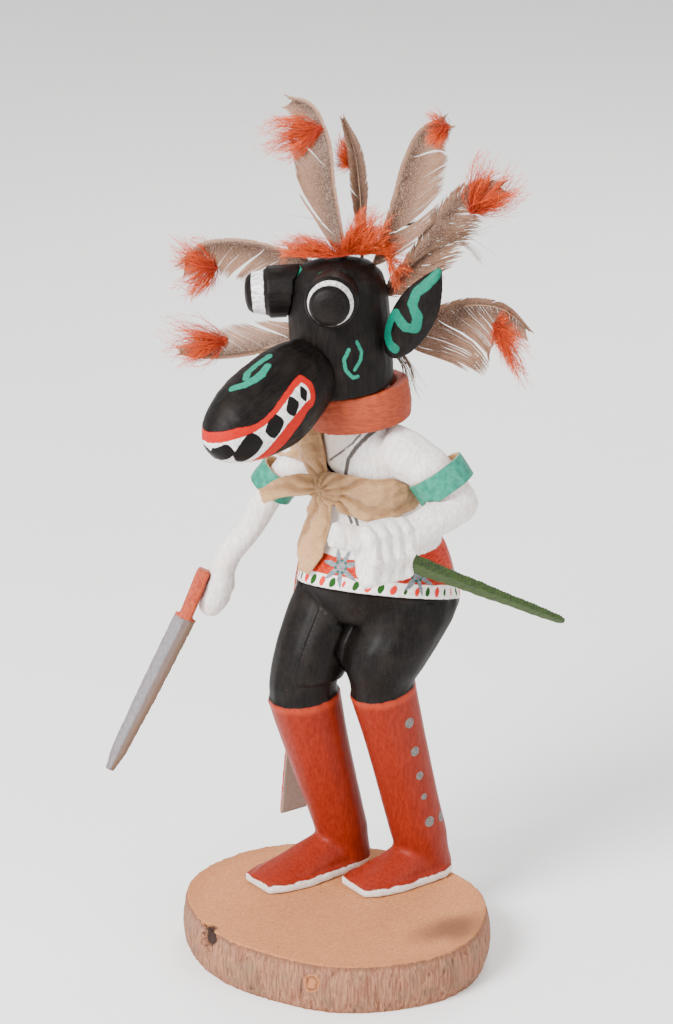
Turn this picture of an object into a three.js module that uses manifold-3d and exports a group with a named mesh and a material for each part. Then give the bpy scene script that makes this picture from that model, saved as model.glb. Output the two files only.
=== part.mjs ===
import * as THREE from 'three';
import { mergeVertices } from 'three/addons/utils/BufferGeometryUtils.js';
import Module from 'manifold-3d';

// A carved and painted masked dancer striding on a slice of a branch, in millimetres.
// The dancer faces -Y, has its left hand on +X, and the slice lies on Z = 0.

const wasm = await Module();
wasm.setup();

// Driving dimensions
const figureHeight = 219;
const sliceThickness = 17;
const sliceRadius = 49.6;
const sliceBulge = 0.7;
const standX = -14.5;
const standY = 19;
const clearance = 0.3;
const sliver = 0.12;
const wrapEase = 0.5;
const leatherThickness = 1.2;
const soleThickness = 3.2;
const soleRim = 0.6;
const headRadius = 16.7;
const headLength = 47.3;
const collarHeight = 12.5;
const collarRise = 4.5;
const collarWall = 3.3;
const collarEase = 0.9;
const snoutRadius = 15.2;
const snoutHalfLength = 27.5;
const snoutBackLength = 28;
const snoutHump = 4;
const eyeRadius = 8.6;
const eyeReach = 30;
const eyeCap = 2.4;
const earLength = 35;
const earHalfWidth = 7;
const earThickness = 2.6;
const armbandWidth = 8.5;
const armbandEase = 1.4;
const sashWidth = 11;
const sashLength = 105;
const stickLength = 81;
const stickDepth = 6.7;
const stickThickness = 4.4;
const stickTeeth = 13;
const handleLength = 18;
const handleWidth = 4.8;
const bladeLength = 58.5;
const bladeWidth = 8;
const bladeThickness = 3.4;
const quillRadius = 0.7;
const vaneThickness = 0.8;

// Points on the figure are given in 219ths of its height, which are millimetres at this height.
const unit = figureHeight / 219;
const point = (x, y, z) => new THREE.Vector3(x * unit, y * unit, z * unit);
const up = new THREE.Vector3(0, 0, 1);
const forward = new THREE.Vector3(0, -1, 0);
const degrees = Math.PI / 180;

function signedVolume(points, faces) {
  let sum = 0;
  const a = new THREE.Vector3();
  const b = new THREE.Vector3();
  const c = new THREE.Vector3();
  for (let i = 0; i < faces.length; i += 3) {
    a.fromArray(points, faces[i] * 3);
    b.fromArray(points, faces[i + 1] * 3);
    c.fromArray(points, faces[i + 2] * 3);
    sum += a.dot(b.cross(c)) / 6;
  }
  return sum;
}

// A closed mesh as a solid, turned the right way out.
function solidOf(geometry) {
  const bare = geometry.clone();
  bare.deleteAttribute('normal');
  bare.deleteAttribute('uv');
  const merged = mergeVertices(bare, 1e-4);
  const vertProperties = Float32Array.from(merged.getAttribute('position').array);
  const triVerts = Uint32Array.from(merged.index.array);
  if (signedVolume(vertProperties, triVerts) < 0) {
    for (let i = 0; i < triVerts.length; i += 3) {
      const first = triVerts[i];
      triVerts[i] = triVerts[i + 1];
      triVerts[i + 1] = first;
    }
  }
  return new wasm.Manifold(new wasm.Mesh({ numProp: 3, vertProperties, triVerts }));
}

function geometryOf(solid) {
  const mesh = solid.getMesh();
  const geometry = new THREE.BufferGeometry();
  geometry.setAttribute('position', new THREE.BufferAttribute(Float32Array.from(mesh.vertProperties), 3));
  geometry.setIndex(new THREE.BufferAttribute(Uint32Array.from(mesh.triVerts), 1));
  geometry.computeVertexNormals();
  return geometry;
}

function joined(solids) {
  return solids.reduce((whole, next) => whole.add(next));
}

function largestOf(solid) {
  const bodies = solid.decompose();
  return bodies.reduce((best, body) => (body.volume() > best.volume() ? body : best));
}

function rounded(value, power) {
  return Math.sign(value) * Math.abs(value) ** (2 / power);
}

// A skin drawn over a row of oval rings, closed flat at both ends.
function overRings(rings, sides) {
  const skin = new THREE.CylinderGeometry(1, 1, 1, sides, rings.length - 1);
  const place = skin.getAttribute('position');
  for (let i = 0; i < place.count; i += 1) {
    const ring = rings[Math.round((0.5 - place.getY(i)) * (rings.length - 1))];
    const power = ring.power ?? 2;
    const spot = ring.centre.clone();
    spot.addScaledVector(ring.across, ring.halfWidth * rounded(place.getX(i), power));
    spot.addScaledVector(ring.over, ring.halfHeight * rounded(place.getZ(i), power));
    place.setXYZ(i, spot.x, spot.y, spot.z);
  }
  return skin;
}

// Rings from rows of height, centre x, centre y, half width, half depth, then rise to the left and rear.
function standing(rows, sides, grow, power = 2) {
  const rings = rows.map(([z, x, y, halfWidth, halfDepth, leftRise = 0, rearRise = 0]) => ({
    centre: point(x, y, z),
    across: new THREE.Vector3(1, 0, leftRise),
    over: new THREE.Vector3(0, 1, rearRise),
    halfWidth: halfWidth * unit + grow,
    halfHeight: halfDepth * unit + grow,
    power,
  }));
  return solidOf(overRings(rings, sides));
}

// A limb through rows of x, y, z and radius, with a rounded or a flat far end.
function limb(rows, sides, steps, grow, roundEnd = true) {
  const path = new THREE.CatmullRomCurve3(rows.map(([x, y, z]) => point(x, y, z)));
  const girth = new THREE.CatmullRomCurve3(rows.map((row) => new THREE.Vector3(row[3] * unit, 0, 0)));
  const rings = [];
  for (let i = 0; i <= steps; i += 1) {
    const tangent = path.getTangent(i / steps);
    const side = Math.abs(tangent.z) < 0.95 ? up : forward;
    const across = new THREE.Vector3().crossVectors(tangent, side).normalize();
    const over = new THREE.Vector3().crossVectors(tangent, across);
    const radius = girth.getPoint(i / steps).x + grow;
    rings.push({ centre: path.getPoint(i / steps), across, over, halfWidth: radius, halfHeight: radius });
  }
  rings[0].centre.addScaledVector(path.getTangent(0), -grow);
  if (roundEnd) {
    const last = rings[rings.length - 1];
    const tangent = path.getTangent(1);
    for (const turn of [42, 78]) {
      const shrink = Math.cos(turn * degrees);
      rings.push({
        ...last,
        centre: last.centre.clone().addScaledVector(tangent, last.halfWidth * Math.sin(turn * degrees)),
        halfWidth: last.halfWidth * shrink,
        halfHeight: last.halfHeight * shrink,
      });
    }
  }
  return solidOf(overRings(rings, sides));
}

// A thin sheet over a grid: place(along 0 to 1, across -1 to 1, side 0 or 1) gives each corner.
function sheet(alongSteps, acrossSteps, place) {
  const slab = new THREE.BoxGeometry(1, 1, 1, acrossSteps, alongSteps, 1);
  const corners = slab.getAttribute('position');
  for (let i = 0; i < corners.count; i += 1) {
    const along = corners.getY(i) + 0.5;
    const across = corners.getX(i) * 2;
    const spot = place(along, across, corners.getZ(i) + 0.5);
    corners.setXYZ(i, spot.x, spot.y, spot.z);
  }
  return solidOf(slab);
}

function block(width, depth, height, matrix) {
  const box = new THREE.BoxGeometry(width, depth, height);
  box.applyMatrix4(matrix);
  return solidOf(box);
}

// Value at a share between 0 and 1 along an evenly spaced row of values.
function along(values, share) {
  const place = Math.min(Math.max(share, 0), 1) * (values.length - 1);
  const low = Math.min(Math.floor(place), values.length - 2);
  return values[low] + (values[low + 1] - values[low]) * (place - low);
}

// Body and legs, as rows of height, centre x, centre y, half width and half depth
const torsoRows = [
  [95, -1, 7.7, 19, 20], [101.9, -1, 7.7, 24.6, 25.4, 0.16, -0.25],
  [102.3, -1, 7.7, 26.8, 27.6, 0.16, -0.25], [108.3, -1.1, 7.5, 26, 26.6, 0.15, -0.22],
  [113.5, -1.3, 7.2, 24.9, 25.4, 0.12, -0.15], [118.5, -1.5, 7, 23.3, 23.6, 0.08, -0.08],
  [122, -1.3, 6.5, 22, 21.6, 0.04, -0.04], [127, -1, 5.6, 20.2, 19], [134, -0.8, 4.2, 18.6, 16.6],
  [145, -0.3, 2, 18.3, 15.2], [153, 0, 0.7, 17.8, 14], [158, 0, -0.3, 16.2, 12.8],
  [162, 0, -0.9, 13.6, 12.2], [165, 0.4, -2, 11.4, 11.2], [181, 1.3, -3.5, 11, 10.9],
];
const rightLegRows = [
  [2, -10.5, 1.6, 8.2, 8.6], [10, -10.5, 0.1, 8.5, 8.7], [14, -10.5, -1, 9.2, 9.4],
  [24, -10.5, -4, 9.7, 9.9], [36.5, -10.5, -8, 10.6, 10.9], [50, -10.5, -12, 11.4, 11.7],
  [66.6, -10.5, -16.3, 12.3, 12.5, 0, 0.14], [67.2, -10.5, -16.5, 11.4, 11.6, 0, 0.14],
  [71.5, -10.5, -16.6, 11.6, 11.8, 0, 0.07], [77, -10.5, -14.1, 12.6, 13.1],
  [85, -10.6, -10.8, 13.1, 14.1], [92, -11, -7.2, 13.4, 14.6],
  [98, -11, -3.5, 13.5, 15.6], [103, -11, 0, 13.6, 16.6],
];
const leftLegRows = [
  [2, 10.8, 19.6, 9, 9.4], [11.6, 10.8, 17.3, 9.4, 9.5], [15.5, 10.8, 16.4, 9.9, 10],
  [25, 10.6, 13.8, 9.9, 10], [39.5, 10.5, 10, 10.1, 10.3], [54, 10.5, 6, 10.6, 10.8],
  [71.6, 10.5, 1.2, 11.2, 11.3, 0, 0.22], [72.2, 10.5, 1.1, 10.4, 10.5, 0, 0.22],
  [75.5, 10.5, 1.6, 11.2, 11.8, 0, 0.12], [80, 10.2, 2.2, 13.4, 14.2],
  [87.6, 10.5, 5.7, 14.6, 16.4], [94, 10.8, 10, 14.8, 17],
  [99, 10.8, 12.2, 14.2, 18], [103, 10.6, 13, 13.4, 17.6],
];

// Feet, as shares of their length from heel to toe
const footHalfWidths = [5.4, 8, 8.7, 9, 9.6, 10, 9.7, 8.8, 6.4];
const footHeights = [6, 9, 12, 13, 11, 9, 7.4, 6, 4.2];

function foot(heel, toe) {
  const length = toe.clone().sub(heel);
  const across = new THREE.Vector3().crossVectors(length, up).normalize();
  const outline = [];
  const rings = footHalfWidths.map((halfWidth, i) => {
    const share = i / (footHalfWidths.length - 1);
    return {
      centre: heel.clone().addScaledVector(length, share),
      across,
      over: up,
      halfWidth: halfWidth * unit,
      halfHeight: footHeights[i] * unit,
      power: 2.3,
    };
  });
  for (const ring of rings) {
    outline.push(ring.centre.clone().addScaledVector(across, ring.halfWidth + soleRim));
  }
  for (const ring of rings.toReversed()) {
    outline.push(ring.centre.clone().addScaledVector(across, -ring.halfWidth - soleRim));
  }
  const soleShape = new THREE.Shape(outline.map((spot) => new THREE.Vector2(spot.x, spot.y)));
  const sole = solidOf(new THREE.ExtrudeGeometry(soleShape, { depth: soleThickness, bevelEnabled: false }));
  const below = 40 * unit;
  const ground = block(below * 3, below * 3, below, new THREE.Matrix4().setPosition(0, 0, -below / 2));
  return solidOf(overRings(rings, 12)).subtract(ground).add(sole);
}

// Arms, as rows of x, y, z and radius
const leftUpperArm = [[12, 1, 157, 9], [20, 6.5, 154, 8.4], [27.3, 12.5, 147, 7.5], [32, 16.6, 140.4, 6.4]];
const leftForearm = [
  [32, 17, 139.8, 6.4], [33.2, 8, 137.8, 6.3], [33.2, -2, 134.8, 5.5], [32.4, -9, 132, 5.8],
];
const rightUpperArm = [[-11, 1, 156, 8.6], [-19.5, -5, 149, 7.2], [-28, -13.5, 138, 5.5],
  [-34.5, -20.4, 121, 4.6]];
const rightForearm = [[-31.5, -17.5, 130, 5], [-34.5, -20.4, 121, 4.6], [-41, -28, 107, 4.5],
  [-42, -29.8, 98, 6], [-43.2, -31.6, 92.5, 5]];
const thumb = [[33, -18, 133.5, 4.6], [29.8, -26, 136.2, 4.7], [27.6, -31.6, 138, 4.4]];

function leftFist() {
  const palm = standing([[119.5, 32, -15, 3, 6.5], [122, 32, -15, 5, 8.6], [130, 32, -15, 5.6, 9.4],
    [137.5, 32, -15, 5, 8.8], [140.3, 32, -14.6, 2.6, 6]], 10, 0, 3);
  const fingers = [-22, -17.3, -12.6, -8].map((y) => limb([[32, y, 139, 2.3], [36.4, y, 137, 2.6],
    [38.2, y, 130, 2.7], [37, y, 123, 2.6], [32.5, y, 120.4, 2.2]], 6, 4, 0, false));
  return joined([palm, ...fingers]);
}

const arms = (grow) => joined([
  limb(leftUpperArm, 10, 4, grow),
  limb(leftForearm, 10, 4, grow),
  limb(rightUpperArm, 10, 4, grow),
  limb(rightForearm, 10, 7, grow),
]);

// The head stands on a tilted collar: this pose takes points above the middle of its lower edge.
const headPose = new THREE.Matrix4().makeRotationZ(7 * degrees);
headPose.premultiply(new THREE.Matrix4().makeRotationX(1 * degrees));
headPose.premultiply(new THREE.Matrix4().makeRotationY(-5.5 * degrees));
headPose.setPosition(point(2, -8.2, 172));
const collarPose = new THREE.Matrix4().makeRotationX(6 * degrees);
collarPose.premultiply(new THREE.Matrix4().makeRotationY(-5.5 * degrees));
collarPose.setPosition(point(2, -8.2, 172));
collarPose.multiply(new THREE.Matrix4().makeTranslation(0, 0, collarRise));

function posed(geometry, pose = headPose) {
  geometry.applyMatrix4(pose);
  return solidOf(geometry);
}

function turned(profile, sides) {
  const spun = new THREE.LatheGeometry(profile.map(([r, z]) => new THREE.Vector2(r, z)), sides);
  spun.rotateX(90 * degrees);
  return spun;
}

const room = 4 * headRadius;

// Everything above or below the collar's upper face.
function beyondCollar(side, offset) {
  const lift = new THREE.Matrix4().setPosition(0, 0, (side * room) / 2 + offset);
  return block(room * 1.5, room * 1.5, room, collarPose.clone().multiply(lift));
}

function headColumn(grow) {
  const full = headRadius + grow;
  const top = headLength + grow;
  return posed(turned([[0, -top * 0.1], [full * 0.965, -top * 0.1], [full * 0.99, top * 0.2],
    [full, top * 0.5], [full * 0.985, top * 0.76], [full * 0.9, top * 0.88], [full * 0.68, top * 0.96],
    [full * 0.3, top * 0.995], [0, top]], 24));
}

function headShape(grow) {
  return headColumn(grow).subtract(beyondCollar(-1, -grow));
}

// Collar: a ring round the neck, set back from the head above it
const collarBack = 5.2 * unit;
const neckRadius = 12 * unit;
const collarBore = neckRadius + clearance + collarEase;
const collarRadius = collarBore + collarWall;

function collarRing() {
  const ring = turned([[collarBore, -collarHeight - clearance],
    [collarRadius, -collarHeight - clearance], [collarRadius + 0.9, -collarHeight * 0.55],
    [collarRadius + 0.5, -clearance], [collarBore, -clearance],
    [collarBore, -collarHeight - clearance]], 28);
  ring.translate(0, collarBack, 0);
  return posed(ring, collarPose);
}

function bodyShape(grow) {
  const trunk = joined([
    standing(torsoRows, 22, grow),
    standing(rightLegRows, 14, grow),
    standing(leftLegRows, 14, grow),
    arms(grow),
  ]);
  return trunk.subtract(beyondCollar(1, -clearance));
}

// Snout: an egg laid forward and down from the front of the head
const snoutDip = 16 * degrees;
const snoutStart = new THREE.Vector3(0, -9.3 * unit, 10.5 * unit);

function snoutShape(grow) {
  const rings = [];
  const steps = 12;
  for (let i = 0; i <= steps; i += 1) {
    const turn = -Math.PI / 2 + (Math.PI * (i + 0.35)) / (steps + 0.7);
    const reach = (turn < 0 ? snoutBackLength : snoutHalfLength) * Math.sin(turn);
    const taper = 1 - 0.1 * Math.max(0, Math.sin(turn));
    const lift = 1.2 * unit * Math.cos(turn) + snoutHump * Math.max(0, -Math.sin(turn));
    const radius = snoutRadius * Math.cos(turn) ** 0.86 * taper;
    rings.push({
      centre: new THREE.Vector3(0, -(snoutHalfLength * 0.84) - reach, lift),
      across: new THREE.Vector3(1, 0, 0),
      over: up,
      halfWidth: radius * 0.98 + grow,
      halfHeight: radius + grow,
    });
  }
  const egg = overRings(rings, 20);
  egg.rotateX(snoutDip);
  egg.translate(snoutStart.x, snoutStart.y, snoutStart.z);
  return posed(egg);
}

// Eyes: round pegs that narrow to a domed end, set out to either side
const eyeSpread = 43 * degrees;
const eyeHeight = 37.5 * unit;

function eyeShape(side, grow) {
  const root = eyeReach * 0.27;
  const peg = turned([[0, root], [eyeRadius + grow, root], [eyeRadius + grow, eyeReach - eyeCap * 3.3],
    [eyeRadius * 0.88 + grow, eyeReach - eyeCap * 3], [eyeRadius * 0.77 + grow, eyeReach - eyeCap],
    [eyeRadius * 0.64 + grow, eyeReach - eyeCap * 0.4 + grow],
    [eyeRadius * 0.36 + grow, eyeReach - eyeCap * 0.08 + grow], [0, eyeReach + grow]], 22);
  peg.rotateX(90 * degrees);
  peg.rotateZ(side * eyeSpread);
  peg.translate(0, 0, eyeHeight);
  return posed(peg);
}

// Ears: pointed leaves, hollowed on the back, standing out from the sides of the head
const earTurn = 110 * degrees;
const earLean = 34 * degrees;
const earHalfWidths = [0.4, 0.72, 0.9, 0.98, 1, 0.97, 0.86, 0.66, 0.4, 0.08];

function earShape(side) {
  const outward = new THREE.Vector3(side * Math.sin(earTurn), -Math.cos(earTurn), 0);
  const axis = outward.clone().multiplyScalar(Math.sin(earLean)).addScaledVector(up, Math.cos(earLean));
  const face = new THREE.Vector3(side * Math.sin(42 * degrees), -Math.cos(42 * degrees), 0);
  const normal = face.sub(axis.clone().multiplyScalar(face.dot(axis))).normalize();
  const width = new THREE.Vector3().crossVectors(axis, normal);
  const root = outward.clone().multiplyScalar(headRadius + 1.8);
  root.z = 16.5 * unit;
  const leaf = new THREE.BoxGeometry(1, 1, 1, 4, 9, 1);
  const corners = leaf.getAttribute('position');
  for (let i = 0; i < corners.count; i += 1) {
    const share = corners.getY(i) + 0.5;
    const over = corners.getX(i) * 2;
    const bow = 2.4 * unit * (1 - over * over) * Math.sin(Math.PI * (0.12 + 0.8 * share));
    const skin = corners.getZ(i) > 0 ? earThickness * (1 - 0.5 * over * over) : 0;
    const spot = root.clone().addScaledVector(axis, share * earLength);
    spot.addScaledVector(width, over * earHalfWidth * along(earHalfWidths, share));
    spot.addScaledVector(normal, bow + skin * (1 - 0.5 * share));
    corners.setXYZ(i, spot.x, spot.y, spot.z);
  }
  return posed(leaf);
}

// Armbands: hoops of leather, a little wider than the arm they hang on
function armband(rows, share, sag) {
  const path = new THREE.CatmullRomCurve3(rows.map(([x, y, z]) => point(x, y, z)));
  const girth = new THREE.CatmullRomCurve3(rows.map((row) => new THREE.Vector3(row[3] * unit, 0, 0)));
  const inner = girth.getPoint(share).x + armbandEase;
  const outer = inner + leatherThickness;
  const hoop = turned([[inner, -armbandWidth / 2], [outer, -armbandWidth / 2], [outer, armbandWidth / 2],
    [inner, armbandWidth / 2], [inner, -armbandWidth / 2]], 24);
  const aim = path.getTangent(share).addScaledVector(up, -sag).normalize();
  hoop.applyQuaternion(new THREE.Quaternion().setFromUnitVectors(up, aim));
  const centre = path.getPoint(share).addScaledVector(up, armbandEase / 3);
  hoop.translate(centre.x, centre.y, centre.z);
  return solidOf(hoop);
}

const leftBandShare = 0.66;
const rightBandShare = 0.7;
const armbands = () => [armband(leftUpperArm, leftBandShare, 0.4), armband(rightUpperArm, rightBandShare, 0)];

// Yucca whip: a green blade with a toothed upper edge, pushed into the left fist
const stickFoot = point(33.2, -12, 128.6);
const stickAim = new THREE.Vector3(0.012, 0.88, -0.475).normalize();

function stickShape(grow) {
  const across = new THREE.Vector3().crossVectors(stickAim, up).normalize();
  const over = new THREE.Vector3().crossVectors(across, stickAim);
  const rings = [];
  for (let i = 0; i <= stickTeeth * 2; i += 1) {
    const share = i / (stickTeeth * 2);
    const tooth = i % 2 === 0 ? 0 : 0.07;
    const size = (1 - 0.5 * share) * (share > 0.99 ? 0.7 : 1);
    rings.push({
      centre: stickFoot.clone().addScaledVector(stickAim, share * stickLength),
      across,
      over,
      halfWidth: (stickThickness * size) / 2 + grow,
      halfHeight: (stickDepth * size * (1 + tooth)) / 2 + grow,
    });
  }
  return solidOf(overRings(rings, 4));
}

// Knife: a squared handle lying along the right hand, and a blade with a ridge down each face
const handleTop = point(-43, -34.4, 105);
const handleAim = new THREE.Vector3(-0.08, -0.4, -0.913).normalize();
const bladeAim = new THREE.Vector3(-0.05, -0.51, -0.859).normalize();
const bladeEdge = new THREE.Vector3(0.635, 0.629, -0.45);

function knifeShape(grow) {
  const handleAcross = bladeEdge.clone().addScaledVector(handleAim, -bladeEdge.dot(handleAim)).normalize();
  const handleOver = new THREE.Vector3().crossVectors(handleAim, handleAcross);
  const handleRings = [0, 0.04, 0.5, 0.96, 1].map((share) => ({
    centre: handleTop.clone().addScaledVector(handleAim, share * handleLength),
    across: handleAcross,
    over: handleOver,
    halfWidth: handleWidth * 0.5 * (share === 0 ? 0.85 : 1) + grow,
    halfHeight: handleWidth * 0.62 * (share === 0 ? 0.85 : 1) + grow,
    power: 5,
  }));
  const handle = solidOf(overRings(handleRings, 12));
  const across = bladeEdge.clone().addScaledVector(bladeAim, -bladeEdge.dot(bladeAim)).normalize();
  const over = new THREE.Vector3().crossVectors(bladeAim, across);
  const bladeFoot = handleTop.clone().addScaledVector(handleAim, handleLength - 1);
  const widths = [1, 1, 0.98, 0.95, 0.91, 0.86, 0.8, 0.72, 0.4];
  const rings = widths.map((width, i) => ({
    centre: bladeFoot.clone().addScaledVector(bladeAim, (i / (widths.length - 1)) * bladeLength),
    across,
    over,
    halfWidth: (bladeWidth * width) / 2 + grow,
    halfHeight: (bladeThickness * (0.5 + 0.5 * width)) / 2 + grow,
    power: 1.35,
  }));
  return handle.add(solidOf(overRings(rings, 8)));
}

// Feathers: a quill with a thin web on either side, standing in a fan behind the face
const fanTurn = 33 * degrees;
const fanAcross = new THREE.Vector3(Math.cos(fanTurn), Math.sin(fanTurn), 0);
const fanCentre = new THREE.Vector3(0, -2.4, 0);

function fanPoint(s, z, back) {
  const spot = point(fanCentre.x, fanCentre.y, z).addScaledVector(fanAcross, s * unit);
  return spot.addScaledVector(new THREE.Vector3(-fanAcross.y, fanAcross.x, 0), back * unit);
}

// Each feather: points as across the fan, height and distance behind it, then the two web widths
const featherRows = [
  { points: [[-2, 212, 0], [-5.5, 226, 0], [-8.6, 241, 0], [-10.6, 256, 0], [-16, 266.5, 0], [-24, 269, 0]],
    outer: [0, 1.2, 1.6, 1.8, 1.8, 1], inner: [0, 3, 7, 10, 9, 3], turn: 0 },
  { points: [[0, 212, 5.5], [-0.5, 226, 5.5], [-1.4, 240, 5.5], [-3, 252, 5.5], [-7, 263, 5.5]],
    outer: [0, 2, 4.5, 4, 1], inner: [0, 2, 3.5, 3, 1], turn: 62 },
  { points: [[3, 210, 1], [8, 223, 1], [13.4, 237, 1], [17, 250, 1], [22, 261, 1], [30, 267, 1]],
    outer: [0, 2.5, 7, 9.5, 9, 3], inner: [0, 1.2, 2.4, 2.4, 2, 1], turn: 0 },
  { points: [[5, 202, 3], [13, 211, 3], [22, 221.5, 3], [29.5, 234, 3], [38, 243.5, 3], [49, 246.5, 3]],
    outer: [0, 2.5, 5, 4, 4, 2], inner: [0, 2, 4.5, 6, 5, 2], turn: 0 },
  { points: [[7, 189, 5], [16, 195, 5], [27, 201.5, 5], [38, 205.4, 5], [49, 205, 5], [58, 198.5, 5]],
    outer: [0, 4, 17, 21, 15, 2.4], inner: [0, 1.5, 3, 3, 2.5, 1], turn: 0 },
  { points: [[-4, 208, 3], [-15, 213.5, 3], [-28, 217, 3], [-42, 218.4, 3], [-55, 216, 3], [-64.5, 208, 3]],
    outer: [0, 1.2, 1.6, 1.8, 1.8, 1], inner: [0, 3, 8, 12, 10, 4], turn: 0 },
  { points: [[-6, 196, 6], [-18, 190, 6], [-32, 183.5, 6], [-46, 179.4, 6], [-57, 177.6, 6], [-66, 177.4, 6]],
    outer: [0, 3, 9, 9.5, 6, 2], inner: [0, 1, 1.6, 1.8, 1.6, 1], turn: 0 },
];

function featherShape(row, grow) {
  const path = new THREE.CatmullRomCurve3(row.points.map(([s, z, back]) => fanPoint(s, z, back)));
  const back = new THREE.Vector3(-fanAcross.y, fanAcross.x, 0);
  const web = sheet(10, 2, (share, across, side) => {
    const reach = 0.2 + 0.8 * share;
    const tangent = path.getTangent(reach);
    const normal = back.clone().applyAxisAngle(tangent, row.turn * degrees);
    const flat = new THREE.Vector3().crossVectors(tangent, normal).normalize();
    const width = across < 0 ? along(row.outer, reach) : along(row.inner, reach);
    const ribbed = Math.abs(across) < 0.1 ? 0.9 : 0.5;
    const spot = path.getPoint(reach).addScaledVector(tangent, (share - 0.5) * 2 * grow);
    spot.addScaledVector(flat, across * (Math.max(width, 0.9) * unit + grow));
    spot.addScaledVector(normal, (side - 0.5) * 2 * (ribbed * vaneThickness + grow));
    return spot;
  });
  const quill = [];
  for (let i = 0; i <= 4; i += 1) {
    const share = (i / 4) * 0.5;
    const tangent = path.getTangent(share);
    const across = new THREE.Vector3().crossVectors(tangent, back).normalize();
    quill.push({
      centre: path.getPoint(share),
      across,
      over: new THREE.Vector3().crossVectors(tangent, across),
      halfWidth: quillRadius + grow,
      halfHeight: quillRadius + grow,
    });
  }
  return web.add(solidOf(overRings(quill, 6)));
}

// Down: soft lumps, drawn out to uneven points round their rim
function downShape(centre, halfLength, halfHeight, halfDepth, tilt, points) {
  const lump = new THREE.SphereGeometry(1, 9, 6);
  const corners = lump.getAttribute('position');
  for (let i = 0; i < corners.count; i += 1) {
    const x = corners.getX(i);
    const y = corners.getY(i);
    const z = corners.getZ(i);
    const rim = Math.hypot(x, y);
    const swell = 1 + 0.14 * rim * Math.cos(points * Math.atan2(y, x) + 1.3 * points);
    corners.setXYZ(i, x * swell * halfLength * unit, y * swell * halfHeight * unit, z * halfDepth * unit);
  }
  lump.rotateZ(tilt * degrees);
  lump.rotateX(90 * degrees);
  lump.rotateZ(fanTurn);
  lump.translate(centre.x, centre.y, centre.z);
  return solidOf(lump);
}

const tuftRows = [
  { s: -27, z: 259, back: 0, halves: [12, 6, 4], tilt: 12, points: 5 },
  { s: -5.5, z: 257, back: 5.5, halves: [3.6, 6.5, 3], tilt: 20, points: 3 },
  { s: 27.4, z: 263.5, back: 1, halves: [4, 6.5, 3], tilt: -30, points: 4 },
  { s: 49.5, z: 248.5, back: 3, halves: [10.5, 8.5, 4], tilt: 18, points: 5 },
  { s: 54.5, z: 190.5, back: 5, halves: [5.5, 12, 4], tilt: 30, points: 4 },
  { s: -59, z: 209, back: 3, halves: [7.5, 11, 4], tilt: 24, points: 5 },
  { s: -65, z: 178.5, back: 6, halves: [8.5, 6, 4], tilt: 10, points: 4 },
];

const crownRows = [
  { s: -13, z: 221.5, back: -4, halves: [15, 6.5, 7], tilt: 10, points: 6 },
  { s: 3, z: 226, back: -1, halves: [8.5, 10, 7], tilt: -12, points: 5 },
  { s: 14, z: 220, back: 1, halves: [8, 11, 6], tilt: 40, points: 5 },
];

// Side sash: a strip of painted leather over the right hip, hanging clear of the leg
const sashPath = new THREE.CatmullRomCurve3([
  point(-23.8, -2.6, 120), point(-25.6, -2.8, 113), point(-26.6, -3, 106), point(-27.3, -3.4, 98),
  point(-27.5, -5.6, 60), point(-27.6, -8.4, 120).add(new THREE.Vector3(0, 0, -sashLength)),
]);

function sashShape() {
  return sheet(16, 1, (share, across, side) => {
    const spot = sashPath.getPoint(share);
    const tangent = sashPath.getTangent(share);
    const edge = new THREE.Vector3(-0.34 * (1 - share), 1, 0).normalize();
    const normal = new THREE.Vector3().crossVectors(tangent, edge).normalize();
    spot.addScaledVector(edge, (across * sashWidth) / 2);
    spot.addScaledVector(normal, (side - 0.5) * leatherThickness);
    return spot;
  });
}

// Chamois wrap: round the chest and over the right shoulder, tied in front.
// Each row: turn from the front, height, half width and how far the leather puffs out.
const wrapRows = [
  [2, 143, 4.5, 0], [30, 141.8, 7.5, 0], [60, 141, 7.5, 0], [95, 141.5, 7, 0], [130, 144, 6.5, 0],
  [160, 149, 6, 0], [190, 155, 5.5, 0], [215, 159, 5, 0], [240, 161, 5.5, 0], [262, 161.5, 7, 1],
  [283, 160.5, 9.5, 3], [303, 158, 11, 6.5], [322, 153.5, 10, 6], [340, 148.5, 7.5, 3], [354, 145, 4.5, 0],
];

function wrapPlace(share) {
  const [turn, height, half, puff] = [0, 1, 2, 3].map((k) => along(wrapRows.map((row) => row[k]), share));
  return { turn, height, half, puff };
}

const caster = new THREE.Raycaster();

// How far the bare trunk reaches from its own axis at a turn from the front and a height.
function skinPoint(target, turn, height) {
  const way = new THREE.Vector3(Math.sin(turn * degrees), -Math.cos(turn * degrees), 0);
  const start = point(0, 1, height).addScaledVector(way, 3 * headRadius);
  caster.set(start, way.clone().negate());
  const hits = caster.intersectObject(target);
  return hits.length > 0 ? hits[0].point : point(0, 1, height).addScaledVector(way, neckRadius);
}

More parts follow.
